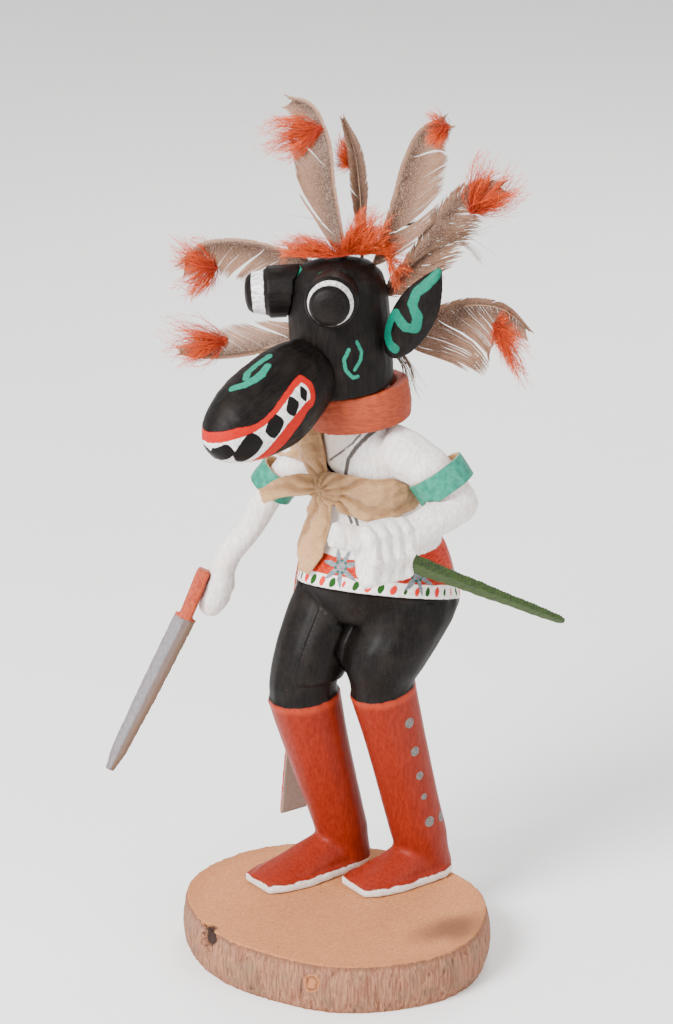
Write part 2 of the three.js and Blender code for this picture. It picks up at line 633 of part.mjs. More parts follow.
function wrapShape() {
  const trunk = joined([standing(torsoRows, 22, clearance), limb(rightUpperArm, 10, 4, clearance)]);
  const target = new THREE.Mesh(geometryOf(trunk));
  const chest = sheet(36, 4, (share, across, side) => {
    const { turn, height, half, puff } = wrapPlace(share);
    const before = wrapPlace(share - 0.02);
    const next = wrapPlace(share + 0.02);
    const girth = neckRadius * 1.4;
    const arc = (next.turn - before.turn) * degrees * girth;
    const rise = (next.height - before.height) * unit;
    const size = Math.hypot(arc, rise);
    const spotTurn = turn - (across * half * unit * rise) / size / (girth * degrees);
    const spotHeight = height + (across * half * arc) / size;
    const skin = skinPoint(target, spotTurn, spotHeight);
    const outward = new THREE.Vector3(Math.sin(spotTurn * degrees), -Math.cos(spotTurn * degrees), 0.25);
    const swell = puff * unit * (1 - across * across);
    return skin.addScaledVector(outward.normalize(), wrapEase + side * (leatherThickness + swell));
  });
  const knot = solidOf(overRings([[-6.5, 3.4], [-4, 5.2], [0, 6], [4, 5.4], [6.5, 3.6]].map(([s, r]) => ({
    centre: point(2.5, -15.6, 143).addScaledVector(new THREE.Vector3(0.8, 0.35, 0.25), s * unit),
    across: new THREE.Vector3(-0.4, 0.9, 0).normalize(),
    over: up,
    halfWidth: r * 0.55 * unit,
    halfHeight: r * unit,
  })), 10));
  const tail = (spots, halfWidths, facing) => {
    const path = new THREE.CatmullRomCurve3(spots);
    return sheet(8, 2, (share, across, side) => {
      const tangent = path.getTangent(share);
      const normal = facing.clone().addScaledVector(tangent, -facing.dot(tangent)).normalize();
      const edge = new THREE.Vector3().crossVectors(tangent, normal);
      const spot = path.getPoint(share).addScaledVector(edge, across * along(halfWidths, share) * unit);
      return spot.addScaledVector(normal, (side - 0.5) * leatherThickness);
    });
  };
  const hanging = tail([point(1.5, -16.6, 141), point(0.5, -17.4, 133), point(-1, -19.6, 124),
    point(-2.4, -21.8, 113.5)], [4, 4.4, 5.2, 5.6, 2.2], new THREE.Vector3(0.35, -0.94, 0.2));
  const flying = tail([point(1, -17, 143.4), point(-4, -22, 144), point(-9, -27.4, 142),
    point(-12, -32, 139.5)], [3.4, 3.8, 3.2, 2.6], new THREE.Vector3(0.75, -0.5, 0.45));
  return joined([chest, knot, hanging, flying]);
}

// Branch slice: a lopsided disc with a bulging bark edge and a short split in its rim
function sliceOutline(turn) {
  const lobes = -1.17 * Math.sin(turn) + 2.88 * Math.cos(2 * turn) + 2.52 * Math.sin(2 * turn)
    - 0.45 * Math.sin(3 * turn) + 0.35 * Math.sin(7 * turn);
  return sliceRadius * (1 + lobes / 49.6);
}

function sliceShape() {
  const disc = new THREE.CylinderGeometry(1, 1, 1, 60, 4);
  const place = disc.getAttribute('position');
  for (let i = 0; i < place.count; i += 1) {
    const x = place.getX(i);
    const y = place.getZ(i);
    const level = place.getY(i);
    const turn = Math.atan2(y, x);
    const edge = Math.hypot(x, y) < 0.5 ? 0 : sliceOutline(turn) + sliceBulge * (1 - 8 * level * level);
    place.setXYZ(i, edge * Math.cos(turn), edge * Math.sin(turn), (level + 0.5) * sliceThickness);
  }
  const splitTurn = -112 * degrees;
  const split = new THREE.CylinderGeometry(2.2, 0.4, sliceThickness * 0.7, 3);
  split.rotateX(90 * degrees);
  split.rotateZ(splitTurn);
  const rim = sliceOutline(splitTurn) + sliceBulge * 2;
  split.translate(rim * Math.cos(splitTurn), rim * Math.sin(splitTurn), sliceThickness * 0.7);
  return solidOf(disc).subtract(solidOf(split));
}

// Pieces cut to lie against one another
const feet = [
  foot(point(-11.3, 7, 0), point(-10, -36, 0)),
  foot(point(12, 26, 0), point(10.6, -11, 0)),
];
const grownFeathers = featherRows.map((row) => featherShape(row, clearance));
const allFeathers = joined(grownFeathers);
const grownHead = headShape(clearance);
const grownBody = joined([bodyShape(clearance), limb(thumb, 8, 3, clearance)]);
const snout = snoutShape(0).subtract(headColumn(clearance));
const eyes = [1, -1].map((side) => eyeShape(side, 0).subtract(grownHead)
  .subtract(snoutShape(clearance)).subtract(allFeathers));
const ears = [1, -1].map((side) => earShape(side).subtract(grownHead).subtract(allFeathers));
const head = headShape(0).subtract(allFeathers);
const collar = collarRing().subtract(grownBody).subtract(snoutShape(clearance));
const figure = joined([bodyShape(0), leftFist(), limb(thumb, 8, 3, 0, false), ...feet])
  .subtract(stickShape(clearance)).subtract(knifeShape(clearance));
const bands = armbands().map((band) => band.subtract(grownBody));
const collarSpace = (() => {
  const space = turned([
    [0, -collarHeight - 3 * clearance], [collarRadius + 1.4, -collarHeight - 3 * clearance],
    [collarRadius + 1.4, 0], [0, 0]], 24);
  space.translate(0, collarBack, 0);
  return posed(space, collarPose);
})();
const bandRoom = joined(armbands());
const wrap = wrapShape().subtract(grownBody).subtract(collarSpace).subtract(bandRoom)
  .subtract(snoutShape(clearance));
const sash = sashShape().subtract(grownBody);
const tufts = tuftRows.map((row) => downShape(fanPoint(row.s, row.z, row.back), ...row.halves, row.tilt,
  row.points).subtract(allFeathers));
const crown = joined(crownRows.map((row) => downShape(fanPoint(row.s, row.z, row.back), ...row.halves,
  row.tilt, row.points))).subtract(allFeathers).subtract(grownHead).subtract(eyeShape(1, clearance))
  .subtract(eyeShape(-1, clearance));

// Colours and finish
const paints = {
  barkedWood: { color: 0xc89a72, roughness: 0.85 },
  whitePaint: { color: 0xe9e4e1, roughness: 0.7 },
  blackPaint: { color: 0x2a2422, roughness: 0.45 },
  orangePaint: { color: 0xc4683f, roughness: 0.7 },
  greenPaint: { color: 0x4e6326, roughness: 0.5 },
  greyPaint: { color: 0x8b8584, roughness: 0.55 },
  turquoiseLeather: { color: 0x3fa08f, roughness: 0.5 },
  chamois: { color: 0xd2b592, roughness: 0.95 },
  paintedLeather: { color: 0xb4553a, roughness: 0.8 },
  featherWeb: { color: 0xb49c8c, roughness: 0.7 },
  orangeDown: { color: 0xe0622f, roughness: 0.95 },
};

const dancer = new THREE.Group();
dancer.position.set(standX, standY, sliceThickness + clearance / 3);

function place(name, solid, paint, parent) {
  const material = new THREE.MeshStandardMaterial({ ...paint, metalness: 0 });
  const mesh = new THREE.Mesh(geometryOf(largestOf(solid.simplify(sliver))), material);
  mesh.name = name;
  parent.add(mesh);
}

const doll = new THREE.Group();
doll.add(dancer);
place('base_slice', sliceShape(), paints.barkedWood, doll);
place('carved_figure', figure, paints.whitePaint, dancer);
place('head', head, paints.blackPaint, dancer);
place('snout', snout, paints.blackPaint, dancer);
place('eye_left', eyes[0], paints.blackPaint, dancer);
place('eye_right', eyes[1], paints.blackPaint, dancer);
place('ear_left', ears[0], paints.blackPaint, dancer);
place('ear_right', ears[1], paints.blackPaint, dancer);
place('collar', collar, paints.orangePaint, dancer);
place('armband_left', bands[0], paints.turquoiseLeather, dancer);
place('armband_right', bands[1], paints.turquoiseLeather, dancer);
place('chamois_wrap', wrap, paints.chamois, dancer);
place('side_sash', sash, paints.paintedLeather, dancer);
place('knife', knifeShape(0), paints.greyPaint, dancer);
place('yucca_whip', stickShape(0), paints.greenPaint, dancer);
featherRows.forEach((row, i) => place(`feather_${i + 1}`, featherShape(row, 0), paints.featherWeb, dancer));
tufts.forEach((tuft, i) => place(`tip_tuft_${i + 1}`, tuft, paints.orangeDown, dancer));
place('crown_down', crown, paints.orangeDown, dancer);

export default doll;
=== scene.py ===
# A carved and painted masked dancer on a branch slice, with a feather crown and leather wrap.
import math
import random

import bpy
from mathutils import Matrix, Vector, noise


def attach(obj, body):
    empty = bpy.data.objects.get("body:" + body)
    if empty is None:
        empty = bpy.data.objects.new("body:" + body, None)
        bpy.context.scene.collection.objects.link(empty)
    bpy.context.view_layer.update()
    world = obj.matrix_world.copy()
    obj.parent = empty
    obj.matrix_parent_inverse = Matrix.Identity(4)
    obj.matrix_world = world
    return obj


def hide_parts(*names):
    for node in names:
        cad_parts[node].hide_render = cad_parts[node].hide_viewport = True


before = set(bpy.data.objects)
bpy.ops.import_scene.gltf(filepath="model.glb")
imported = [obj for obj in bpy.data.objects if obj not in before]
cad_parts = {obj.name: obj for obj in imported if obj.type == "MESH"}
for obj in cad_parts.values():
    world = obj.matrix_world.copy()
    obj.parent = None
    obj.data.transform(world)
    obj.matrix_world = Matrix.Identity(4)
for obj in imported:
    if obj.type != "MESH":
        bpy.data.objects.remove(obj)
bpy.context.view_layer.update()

mm = 0.001
dancerSpot = Vector((-14.5, 19.0, 17.1))  # the dancer's own zero, in millimetres of the frame


def onDancer(x, y, z):
    return (Vector((x, y, z)) + dancerSpot) * mm


def ofDancer(spot):
    return spot / mm - dancerSpot


def turned(angle, axis):
    return Matrix.Rotation(math.radians(angle), 4, axis)


def moved(x, y, z):
    return Matrix.Translation(Vector((x, y, z)) * mm)


dancerPlace = Matrix.Translation(dancerSpot * mm)
headPlace = Matrix.Translation(onDancer(2, -8.2, 172)) @ turned(-5.5, "Y") @ turned(1, "X") @ turned(7, "Z")
snoutPlace = headPlace @ moved(0, -9.3, 10.5) @ turned(16, "X")


def eyePlace(side):
    return headPlace @ moved(0, 0, 37.5) @ turned(43 * side, "Z") @ turned(90, "X")


# Objects and modifiers

def only(piece):
    bpy.ops.object.select_all(action="DESELECT")
    piece.select_set(True)
    bpy.context.view_layer.objects.active = piece


def finishWith(piece, kind, **settings):
    only(piece)
    added = piece.modifiers.new(kind.title(), kind)
    for name, value in settings.items():
        setattr(added, name, value)
    bpy.ops.object.modifier_apply(modifier=added.name)


def copyOfNode(node, name):
    piece = bpy.data.objects.new(name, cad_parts[node].data.copy())
    bpy.context.scene.collection.objects.link(piece)
    piece.data.materials.clear()
    only(piece)
    bpy.ops.object.mode_set(mode="EDIT")
    bpy.ops.mesh.select_all(action="SELECT")
    bpy.ops.mesh.remove_doubles(threshold=0.01 * mm)
    bpy.ops.mesh.normals_make_consistent(inside=False)
    bpy.ops.object.mode_set(mode="OBJECT")
    return piece


def refined(node, name, grain, rounds):
    # the node's own form in small faces, with its facets worn away
    piece = copyOfNode(node, name)
    finishWith(piece, "REMESH", mode="VOXEL", voxel_size=grain * mm)
    finishWith(piece, "SMOOTH", factor=0.5, iterations=rounds)
    only(piece)
    bpy.ops.object.shade_smooth()
    return piece


def softened(piece, rounds, shareAt):
    group = piece.vertex_groups.new(name="soft")
    for corner in piece.data.vertices:
        group.add([corner.index], shareAt(ofDancer(corner.co)), "REPLACE")
    finishWith(piece, "SMOOTH", factor=0.5, iterations=rounds, vertex_group="soft")
    piece.vertex_groups.clear()


def carved(piece, depthAt):
    # moves each point along its own normal by so many millimetres
    pushes = [corner.normal * depthAt(corner.co / mm, corner.normal) * mm for corner in piece.data.vertices]
    for corner, push in zip(piece.data.vertices, pushes):
        corner.co += push


def shaded(piece, name, shareAt):
    # a number on each point, for the material to read
    layer = piece.data.attributes.new(name, "FLOAT", "POINT")
    shares = [shareAt(corner.co / mm, corner.normal) for corner in piece.data.vertices]
    layer.data.foreach_set("value", shares)


def settled(piece, material, slotName, *nodes):
    piece.data.materials.clear()
    piece.data.materials.append(material)
    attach(piece, "root")
    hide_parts(*nodes)
    print(piece.name, len(piece.data.polygons), "faces")


def rough(spot, scale, octaves=3):
    return noise.fractal(Vector(spot) * scale, 1.0, 2.0, octaves)


def mixed(low, high, share):
    return low + (high - low) * share


def along(values, share):
    place = min(max(share, 0.0), 1.0) * (len(values) - 1)
    low = min(int(place), len(values) - 2)
    return mixed(values[low], values[low + 1], place - low)


# Materials

paintDepth = 1.5


def colour(text):
    # mixed a little deeper than it looks, because the soft studio light lifts every paint
    parts = [int(text[i:i + 2], 16) / 255 for i in (1, 3, 5)]
    return tuple(((c + 0.055) / 1.055) ** (2.4 * paintDepth) for c in parts) + (1.0,)


class Link:
    # one output of a node; sums written on it add nodes
    def __init__(self, look, socket, wide=False):
        self.look = look
        self.socket = socket
        self.wide = wide

    def __add__(self, other):
        return self.look.maths("ADD", self, other)

    def __radd__(self, other):
        return self.look.maths("ADD", other, self)

    def __sub__(self, other):
        return self.look.maths("SUBTRACT", self, other)

    def __rsub__(self, other):
        return self.look.maths("SUBTRACT", other, self)

    def __mul__(self, other):
        return self.look.maths("MULTIPLY", self, other)

    def __rmul__(self, other):
        return self.look.maths("MULTIPLY", other, self)

    def __truediv__(self, other):
        return self.look.maths("DIVIDE", self, other)

    def __abs__(self):
        return self.look.maths("ABSOLUTE", self)


class Look:
    def __init__(self, name, place):
        self.material = bpy.data.materials.new(name)
        self.material.use_nodes = True
        self.tree = self.material.node_tree
        self.tree.nodes.clear()
        spot = self.given("ShaderNodeTexCoord", {}, "Object", wide=True)
        back = place.inverted()
        rows = [self.dot(spot, Vector(back[i][:3]) / mm) + back[i][3] / mm for i in range(3)]
        self.place = self.point(*rows)  # millimetres in the piece's own frame

    def node(self, kind, values, **settings):
        made = self.tree.nodes.new(kind)
        for name, value in settings.items():
            setattr(made, name, value)
        for key, value in values.items():
            if isinstance(value, Link):
                self.tree.links.new(value.socket, made.inputs[key])
            else:
                made.inputs[key].default_value = value
        return made

    def given(self, kind, values, socket=0, wide=False, **settings):
        return Link(self, self.node(kind, values, **settings).outputs[socket], wide)

    def maths(self, operation, *parts):
        wide = any(isinstance(part, Link) and part.wide for part in parts)
        if wide:
            parts = [p if isinstance(p, Link) or hasattr(p, "__len__") else (p, p, p) for p in parts]
        kind = "ShaderNodeVectorMath" if wide else "ShaderNodeMath"
        return self.given(kind, dict(enumerate(parts)), wide=wide, operation=operation)

    def dot(self, a, b):
        return self.given("ShaderNodeVectorMath", {0: a, 1: b}, "Value", operation="DOT_PRODUCT")

    def size(self, a):
        return self.given("ShaderNodeVectorMath", {0: a}, "Value", operation="LENGTH")

    def point(self, x, y, z):
        return self.given("ShaderNodeCombineXYZ", {0: x, 1: y, 2: z}, wide=True)

    def parts(self, place):
        made = self.node("ShaderNodeSeparateXYZ", {0: place})
        return [Link(self, made.outputs[i]) for i in range(3)]

    def smooth(self, value, low, high):
        values = {"Value": value, "From Min": low, "From Max": high}
        return self.given("ShaderNodeMapRange", values, interpolation_type="SMOOTHSTEP")

    def inside(self, distance, edge=0.12):
        return 1 - self.smooth(distance, -edge, edge)

    def least(self, *values):
        made = values[0]
        for value in values[1:]:
            made = self.maths("MINIMUM", made, value)
        return made

    def most(self, *values):
        made = values[0]
        for value in values[1:]:
            made = self.maths("MAXIMUM", made, value)
        return made

    def noise(self, place, scale, detail=3.0, roughness=0.5):
        values = {"Vector": place, "Scale": scale, "Detail": detail, "Roughness": roughness}
        return self.given("ShaderNodeTexNoise", values)

    def wobbled(self, place, scale, amount):
        # an uneven edge, as a hand-held brush leaves it
        values = {"Vector": place, "Scale": scale, "Detail": 2.0}
        shift = self.given("ShaderNodeTexNoise", values, 1, wide=True)
        return place + (shift - 0.5) * (2 * amount)

    def cells(self, place, scale):
        values = {"Vector": place, "Scale": scale}
        return self.given("ShaderNodeTexVoronoi", values, feature="DISTANCE_TO_EDGE")

    def chance(self, value):
        return self.given("ShaderNodeTexWhiteNoise", {"W": value}, noise_dimensions="1D")

    def layer(self, name):
        return self.given("ShaderNodeAttribute", {}, "Fac", attribute_name=name)

    def blend(self, share, a, b):
        # from a to b, each a link or a colour as text
        a, b = [colour(tint) if isinstance(tint, str) else tint for tint in (a, b)]
        return self.given("ShaderNodeMix", {0: share, 6: a, 7: b}, 2, data_type="RGBA")

    def tones(self, value, low, high, a, b):
        return self.blend(self.smooth(value, low, high), a, b)

    def stroke(self, place, points):
        # distance in millimetres from a line drawn through the points
        nearest = []
        for start, end in zip(points, points[1:]):
            way = Vector(end) - Vector(start)
            away = place - tuple(start)
            share = self.least(self.most(self.dot(away, way / way.length_squared), 0), 1)
            values = {0: tuple(way), 3: share}
            step = self.given("ShaderNodeVectorMath", values, wide=True, operation="SCALE")
            nearest.append(self.size(away - step))
        return self.least(*nearest)

    def done(self, tint, roughness, height, depth, shine=0.35, fuzz=0.0):
        bump = self.given("ShaderNodeBump", {"Height": height, "Distance": depth * mm, "Strength": 1.0})
        values = {"Base Color": tint, "Roughness": roughness, "Normal": bump,
                  "Specular IOR Level": shine, "Sheen Weight": fuzz}
        shader = self.node("ShaderNodeBsdfPrincipled", values)
        ending = self.node("ShaderNodeOutputMaterial", {})
        self.tree.links.new(shader.outputs[0], ending.inputs[0])
        return self.material


def blackCoat(look, place):
    # dark paint brushed down the grain, rubbed a little thin on the high spots
    drawn = look.noise(place * (1.5, 1.5, 0.2), 1.0, 5.0, 0.62)
    fine = look.noise(place * (5.5, 5.5, 0.7), 1.0, 3.0, 0.6)
    patch = look.noise(place, 0.16, 3.0)
    tint = look.tones(drawn, 0.35, 0.72, "#1d1917", "#37302d")
    tint = look.blend(look.smooth(patch, 0.45, 0.75) * 0.5, tint, "#453c37")
    specks = look.smooth(look.noise(place, 2.6, 2.0), 0.73, 0.78)
    tint = look.blend(specks * 0.45, tint, "#6a5c53")
    return tint, 0.36 + fine * 0.22, drawn * 0.7 + fine * 0.5


def whiteCoat(look, place):
    drawn = look.noise(place * (0.9, 0.9, 0.35), 1.0, 5.0, 0.6)
    fine = look.noise(place * (4.0, 4.0, 1.6), 1.0, 3.0, 0.6)
    patch = look.noise(place, 0.12, 3.0)
    tint = look.tones(drawn, 0.3, 0.75, "#dcd5d2", "#f4f1ef")
    tint = look.blend(look.smooth(patch, 0.5, 0.75) * 0.55, tint, "#e6dbd0")
    return tint, 0.48 + fine * 0.2, drawn * 0.8 + fine * 0.45


# Branch slice: sawn top, barked side

sliceValues = {"grain": 0.85, "rounds": 3, "ridges": 0.42, "sawMarks": 0.06, "sideTilt": 0.6,
               "hole": (-8.5, -47.8, 14.2), "holeSize": 4.5, "holeDepth": 1.9,
               "knot": (33.8, -35.1, 10.6), "smear": (38, 19, 17), "smearSize": 5}


def barkedSlice():
    v = sliceValues
    piece = refined("base_slice", "branch_slice", v["grain"], v["rounds"])

    def onBark(spot, normal):
        return 1.0 if abs(normal.z) < v["sideTilt"] else 0.0

    shaded(piece, "bark", onBark)

    def barkDepth(spot, normal):
        turn = math.atan2(spot.y, spot.x)
        hole = (spot - Vector(v["hole"])).length
        if hole < v["holeSize"] + 1.5 * rough(spot, 0.4):
            return -v["holeDepth"]
        if onBark(spot, normal):
            ridge = rough((math.cos(turn) * 50, math.sin(turn) * 50, spot.z * 0.1), 0.5, 4)
            flake = rough(spot, 0.16, 3)
            return v["ridges"] * (ridge * 0.9 + flake * 0.8) - 0.25
        saw = math.sin(spot.x * 2.1 + rough(spot, 0.05) * 3)
        return v["sawMarks"] * (saw + 1.5 * rough(spot, 0.8))

    carved(piece, barkDepth)
    look = Look("barkedWood", Matrix.Identity(4))
    place = look.place
    z = look.parts(place)[2]
    bark = look.smooth(look.layer("bark"), 0.2, 0.8)
    # sawn face: faint rings round an off-centre heart, sawdust grain and a dark smear
    heart = look.wobbled(place * (1, 1, 0) - (-6, -4, 0), 0.05, 3.0)
    rings = look.maths("SINE", look.size(heart) * 2.6)
    grain = look.noise(place, 1.5, 5.0, 0.75)
    dust = look.noise(place, 5.0, 2.0, 0.7)
    sawn = look.tones(grain, 0.3, 0.7, "#b9855c", "#d0a27a")
    sawn = look.blend(look.smooth(rings, 0.2, 1.0) * 0.06, sawn, "#9c6d4a")
    sawn = look.blend(look.smooth(dust, 0.62, 0.72) * 0.5, sawn, "#a4744f")
    stain = (look.wobbled(place, 0.1, 4.0) - v["smear"]) * (0.7, 0.4, 0.4)
    smear = look.inside(look.size(stain) - v["smearSize"], 4.0)
    sawn = look.blend(smear * 0.8, sawn, "#7f5a44")
    edge = look.smooth(look.size(place * (1, 1, 0)), 44, 53)
    sawn = look.blend(edge * 0.35, sawn, "#a67a59")
    # bark: upright fibres with dark cracks, a knot and a split
    fibres = look.noise(place * (1.3, 1.3, 0.12), 1.0, 6.0, 0.7)
    cracks = look.noise(place * (0.55, 0.55, 0.07), 1.0, 5.0, 0.65)
    patch = look.noise(place * (0.12, 0.12, 0.2), 1.0, 3.0)
    skin = look.tones(fibres, 0.3, 0.72, "#8d6350", "#c19a82")
    skin = look.blend(look.smooth(patch, 0.45, 0.7) * 0.5, skin, "#93826f")
    skin = look.blend(look.smooth(cracks, 0.61, 0.68) * 0.6, skin, "#5a3c31")
    flecks = look.smooth(look.noise(place * (0.9, 0.9, 0.3), 1.0, 4.0, 0.6), 0.6, 0.68)
    skin = look.blend(flecks * 0.55, skin, "#d3a57f")
    knot = look.size((look.wobbled(place, 0.35, 1.3) - v["knot"]) * (1, 1, 0.85))
    skin = look.blend(look.inside(knot - 2.7, 0.5) * 0.8, skin, "#c8946a")
    skin = look.blend(look.inside(abs(knot - 1.7) - 0.35, 0.3) * 0.7, skin, "#7a4f38")
    rim = look.smooth(z, 14.6, 16.4)
    skin = look.blend(rim * 0.5, skin, "#8e6249")
    tint = look.blend(bark, sawn, skin)
    hole = look.size(look.wobbled(place, 0.4, 1.2) - v["hole"]) - (v["holeSize"] - 0.3)
    tint = look.blend(look.inside(hole, 0.9) * 0.95, tint, "#3d231a")
    split = look.smooth(cracks, 0.6, 0.7)
    height = look.blend(bark, grain * 0.5 + dust * 0.4, fibres * 2.2 - split * 1.5)
    material = look.done(tint, 0.82 + grain * 0.1, height, 0.22)
    settled(piece, material, "slice_wood", "base_slice")


# Dancer's body: one carving, painted all over

figureValues = {
    "grain": 0.7, "rounds": 4, "softRounds": 26,
    "hem": (102.3, 0.16, -0.25),  # height of the kilt's lower edge, and its rise to the left and rear
    "hemHeight": 4.9, "kiltTop": 120.6, "belly": (-1.0, 7.6),
    "trunkMiddle": -1, "trunkHalf": 28.6, "trunkRadius": 26.5,
    "starStep": 27.6, "starReach": 7.6, "starHeight": 8.2, "markStep": 4.2, "markHeight": 2.4,
    "thighs": (74, 100), "thighGap": 2.6, "thighPush": 0.8,
    "fist": (25, -4), "fistTop": 141, "knuckleStep": 4.7, "knuckleDepth": 0.55,
    "soleTop": 2.9,
    # height of a boot's edge, its rise to the rear and the place across which that is measured
    "leftBootTop": (71.9, 0.22, 1.2), "rightBootTop": (66.9, 0.14, -16.4),
    # what keeps its shape when the facets are worn away: soles, hem, boot edges and the right hand
    "soleKept": 6, "hemKept": 2.6, "bootKept": 1.6, "rightHand": (-34, 108),
    # the plane between the legs: its lean across and back, and where it starts and how it slopes
    "legSplit": (21, 18, 11.6, 0.285),
    # each row of discs: place across and back, lean with height and drop; then two discs at the ankles
    "buttonRows": [(20.9, 19.6, 0.24, 0), (-21.6, 4.6, 0.315, 1.5)],
    "ankleButtons": [(18.0, 20.0, 22.5), (-18.3, 4.2, 21.0)], "ankleButtonSize": 1.9,
    "buttonHeights": [61.5, 50.5, 40.9, 32.7, 22.9], "buttonSizes": [1.85, 1.75, 1.6, 1.35, 2.0],
}


def hemAt(x, y):
    base, left, rear = figureValues["hem"]
    centreX, centreY = figureValues["belly"]
    return base + (x - centreX) * left + (y - centreY) * rear


def bootTop(y, side):
    height, rise, middle = figureValues[side + "BootTop"]
    return height + rise * (y - middle)


def figureSoftness(spot):
    # painted edges, soles and fists keep their shape
    v = figureValues
    x, y, z = spot
    if z < v["soleKept"]:
        return 0.0
    if abs(x - v["trunkMiddle"]) < 30 and abs(z - hemAt(x, y)) < v["hemKept"]:
        return 0.03
    if abs(z - bootTop(y, "left" if x > 0 else "right")) < v["bootKept"]:
        return 0.05
    if x > v["fist"][0] and y < v["fist"][1] and z < v["fistTop"] + 1:
        return 0.1
    if x < v["rightHand"][0] and z < v["rightHand"][1]:
        return 0.35
    return 1.0


def kiltPaint(look, place, tint):
    v = figureValues
    x, y, z = look.parts(place)
    centreX, centreY = v["belly"]
    height = z - hemAt(x, y)
    arc = look.maths("ARCTAN2", x - centreX, (y - centreY) * -1) * v["trunkRadius"]
    # red cloth with uneven brushing
    brushed = look.noise(place * (0.5, 0.5, 1.6), 1.0, 4.0, 0.65)
    cloth = look.tones(brushed, 0.35, 0.68, "#a8391f", "#cd5a38")
    tint = look.blend(look.inside(z - v["kiltTop"], 0.15), tint, cloth)
    hemBand = look.inside(height - v["hemHeight"], 0.12)
    linen = look.tones(brushed, 0.3, 0.7, "#e2dcd8", "#f6f3f1")
    tint = look.blend(hemBand, tint, linen)
    # slanted marks along the hem, green and red in turn
    cell = arc / v["markStep"] + 0.3
    number = look.maths("FLOOR", cell)
    luck = look.chance(number + 0.5)
    lift = height - v["markHeight"]
    slide = (cell - number - 0.5) * v["markStep"] - lift * 0.3
    mark = look.size(look.point(slide / (0.5 + luck * 0.8), lift / (1.3 + luck * 0.6), 0)) - 1
    isGreen = look.inside(look.maths("MODULO", abs(number), 2) - 0.5, 0.1)
    ink = look.blend(isGreen, "#d8473a", "#3d6a30")
    tint = look.blend(look.inside(mark, 0.15) * look.inside(abs(lift) - 2.6), tint, ink)
    # grey leaf stars, their hearts touched with teal
    column = look.maths("FLOOR", arc / v["starStep"] + 0.08)
    aside = arc - (column + 0.42) * v["starStep"]
    over = height - v["starHeight"]
    reach = look.size(look.point(aside, over, 0))
    spin = look.maths("ARCTAN2", over, aside) * (7 / (2 * math.pi)) + 0.3 * look.chance(column)
    petal = abs(look.maths("FRACT", spin + 10) - 0.5) * 2
    star = petal * 0.95 + reach / v["starReach"] - 1
    leafTint = look.tones(brushed, 0.3, 0.7, "#7f848a", "#a2a7ab")
    tint = look.blend(look.inside(star, 0.06), tint, leafTint)
    heart = look.inside(abs(reach - 2.1) - 0.42, 0.15) * look.smooth(petal, 0.1, 0.5)
    return look.blend(heart, tint, "#1f7a72")


def bootPaint(look, place, wobbly, tint):
    v = figureValues
    x, y, z = look.parts(wobbly)
    across, back, start, slope = v["legSplit"]
    isLeft = look.smooth(across * x + back * (y - (start - slope * z)), -1, 1)
    top = bootTop(y, "left") * isLeft + bootTop(y, "right") * (1 - isLeft)
    drawn = look.noise(place * (1.2, 1.2, 0.25), 1.0, 5.0, 0.62)
    fine = look.noise(place, 1.8, 4.0, 0.7)
    hide = look.tones(drawn, 0.15, 0.85, "#8a3726", "#a84d36")
    hide = look.blend(look.smooth(fine, 0.5, 0.7) * 0.25, hide, "#c25f42")
    edge = look.inside(abs(z - top + 1.4) - 1.0, 1.2)
    hide = look.blend(edge * 0.4, hide, "#c9694b")
    tint = look.blend(look.inside(z - top, 0.15), tint, hide)
    discs = []
    for across, back, lean, drop in v["buttonRows"]:
        for height, size in zip(v["buttonHeights"], v["buttonSizes"]):
            discs.append(look.size(place - (across, back - lean * height, height - drop)) - size)
    for spot in v["ankleButtons"]:
        discs.append(look.size(place - spot) - v["ankleButtonSize"])
    metalGrey = look.tones(fine, 0.35, 0.65, "#76706d", "#9a9694")
    tint = look.blend(look.inside(look.least(*discs), 0.12), tint, metalGrey)
    # white soles, dulled and scuffed towards the ground
    scuff = look.smooth(look.noise(place * (0.8, 0.8, 2.5), 1.0, 4.0, 0.7), 0.5, 0.66)
    sole = look.blend(scuff * 0.75, "#e9e3df", "#b6a69c")
    ragged = (look.noise(place, 0.2, 3.0) - 0.5) * 1.3
    return look.blend(look.inside(z - v["soleTop"] - ragged, 0.2), tint, sole)


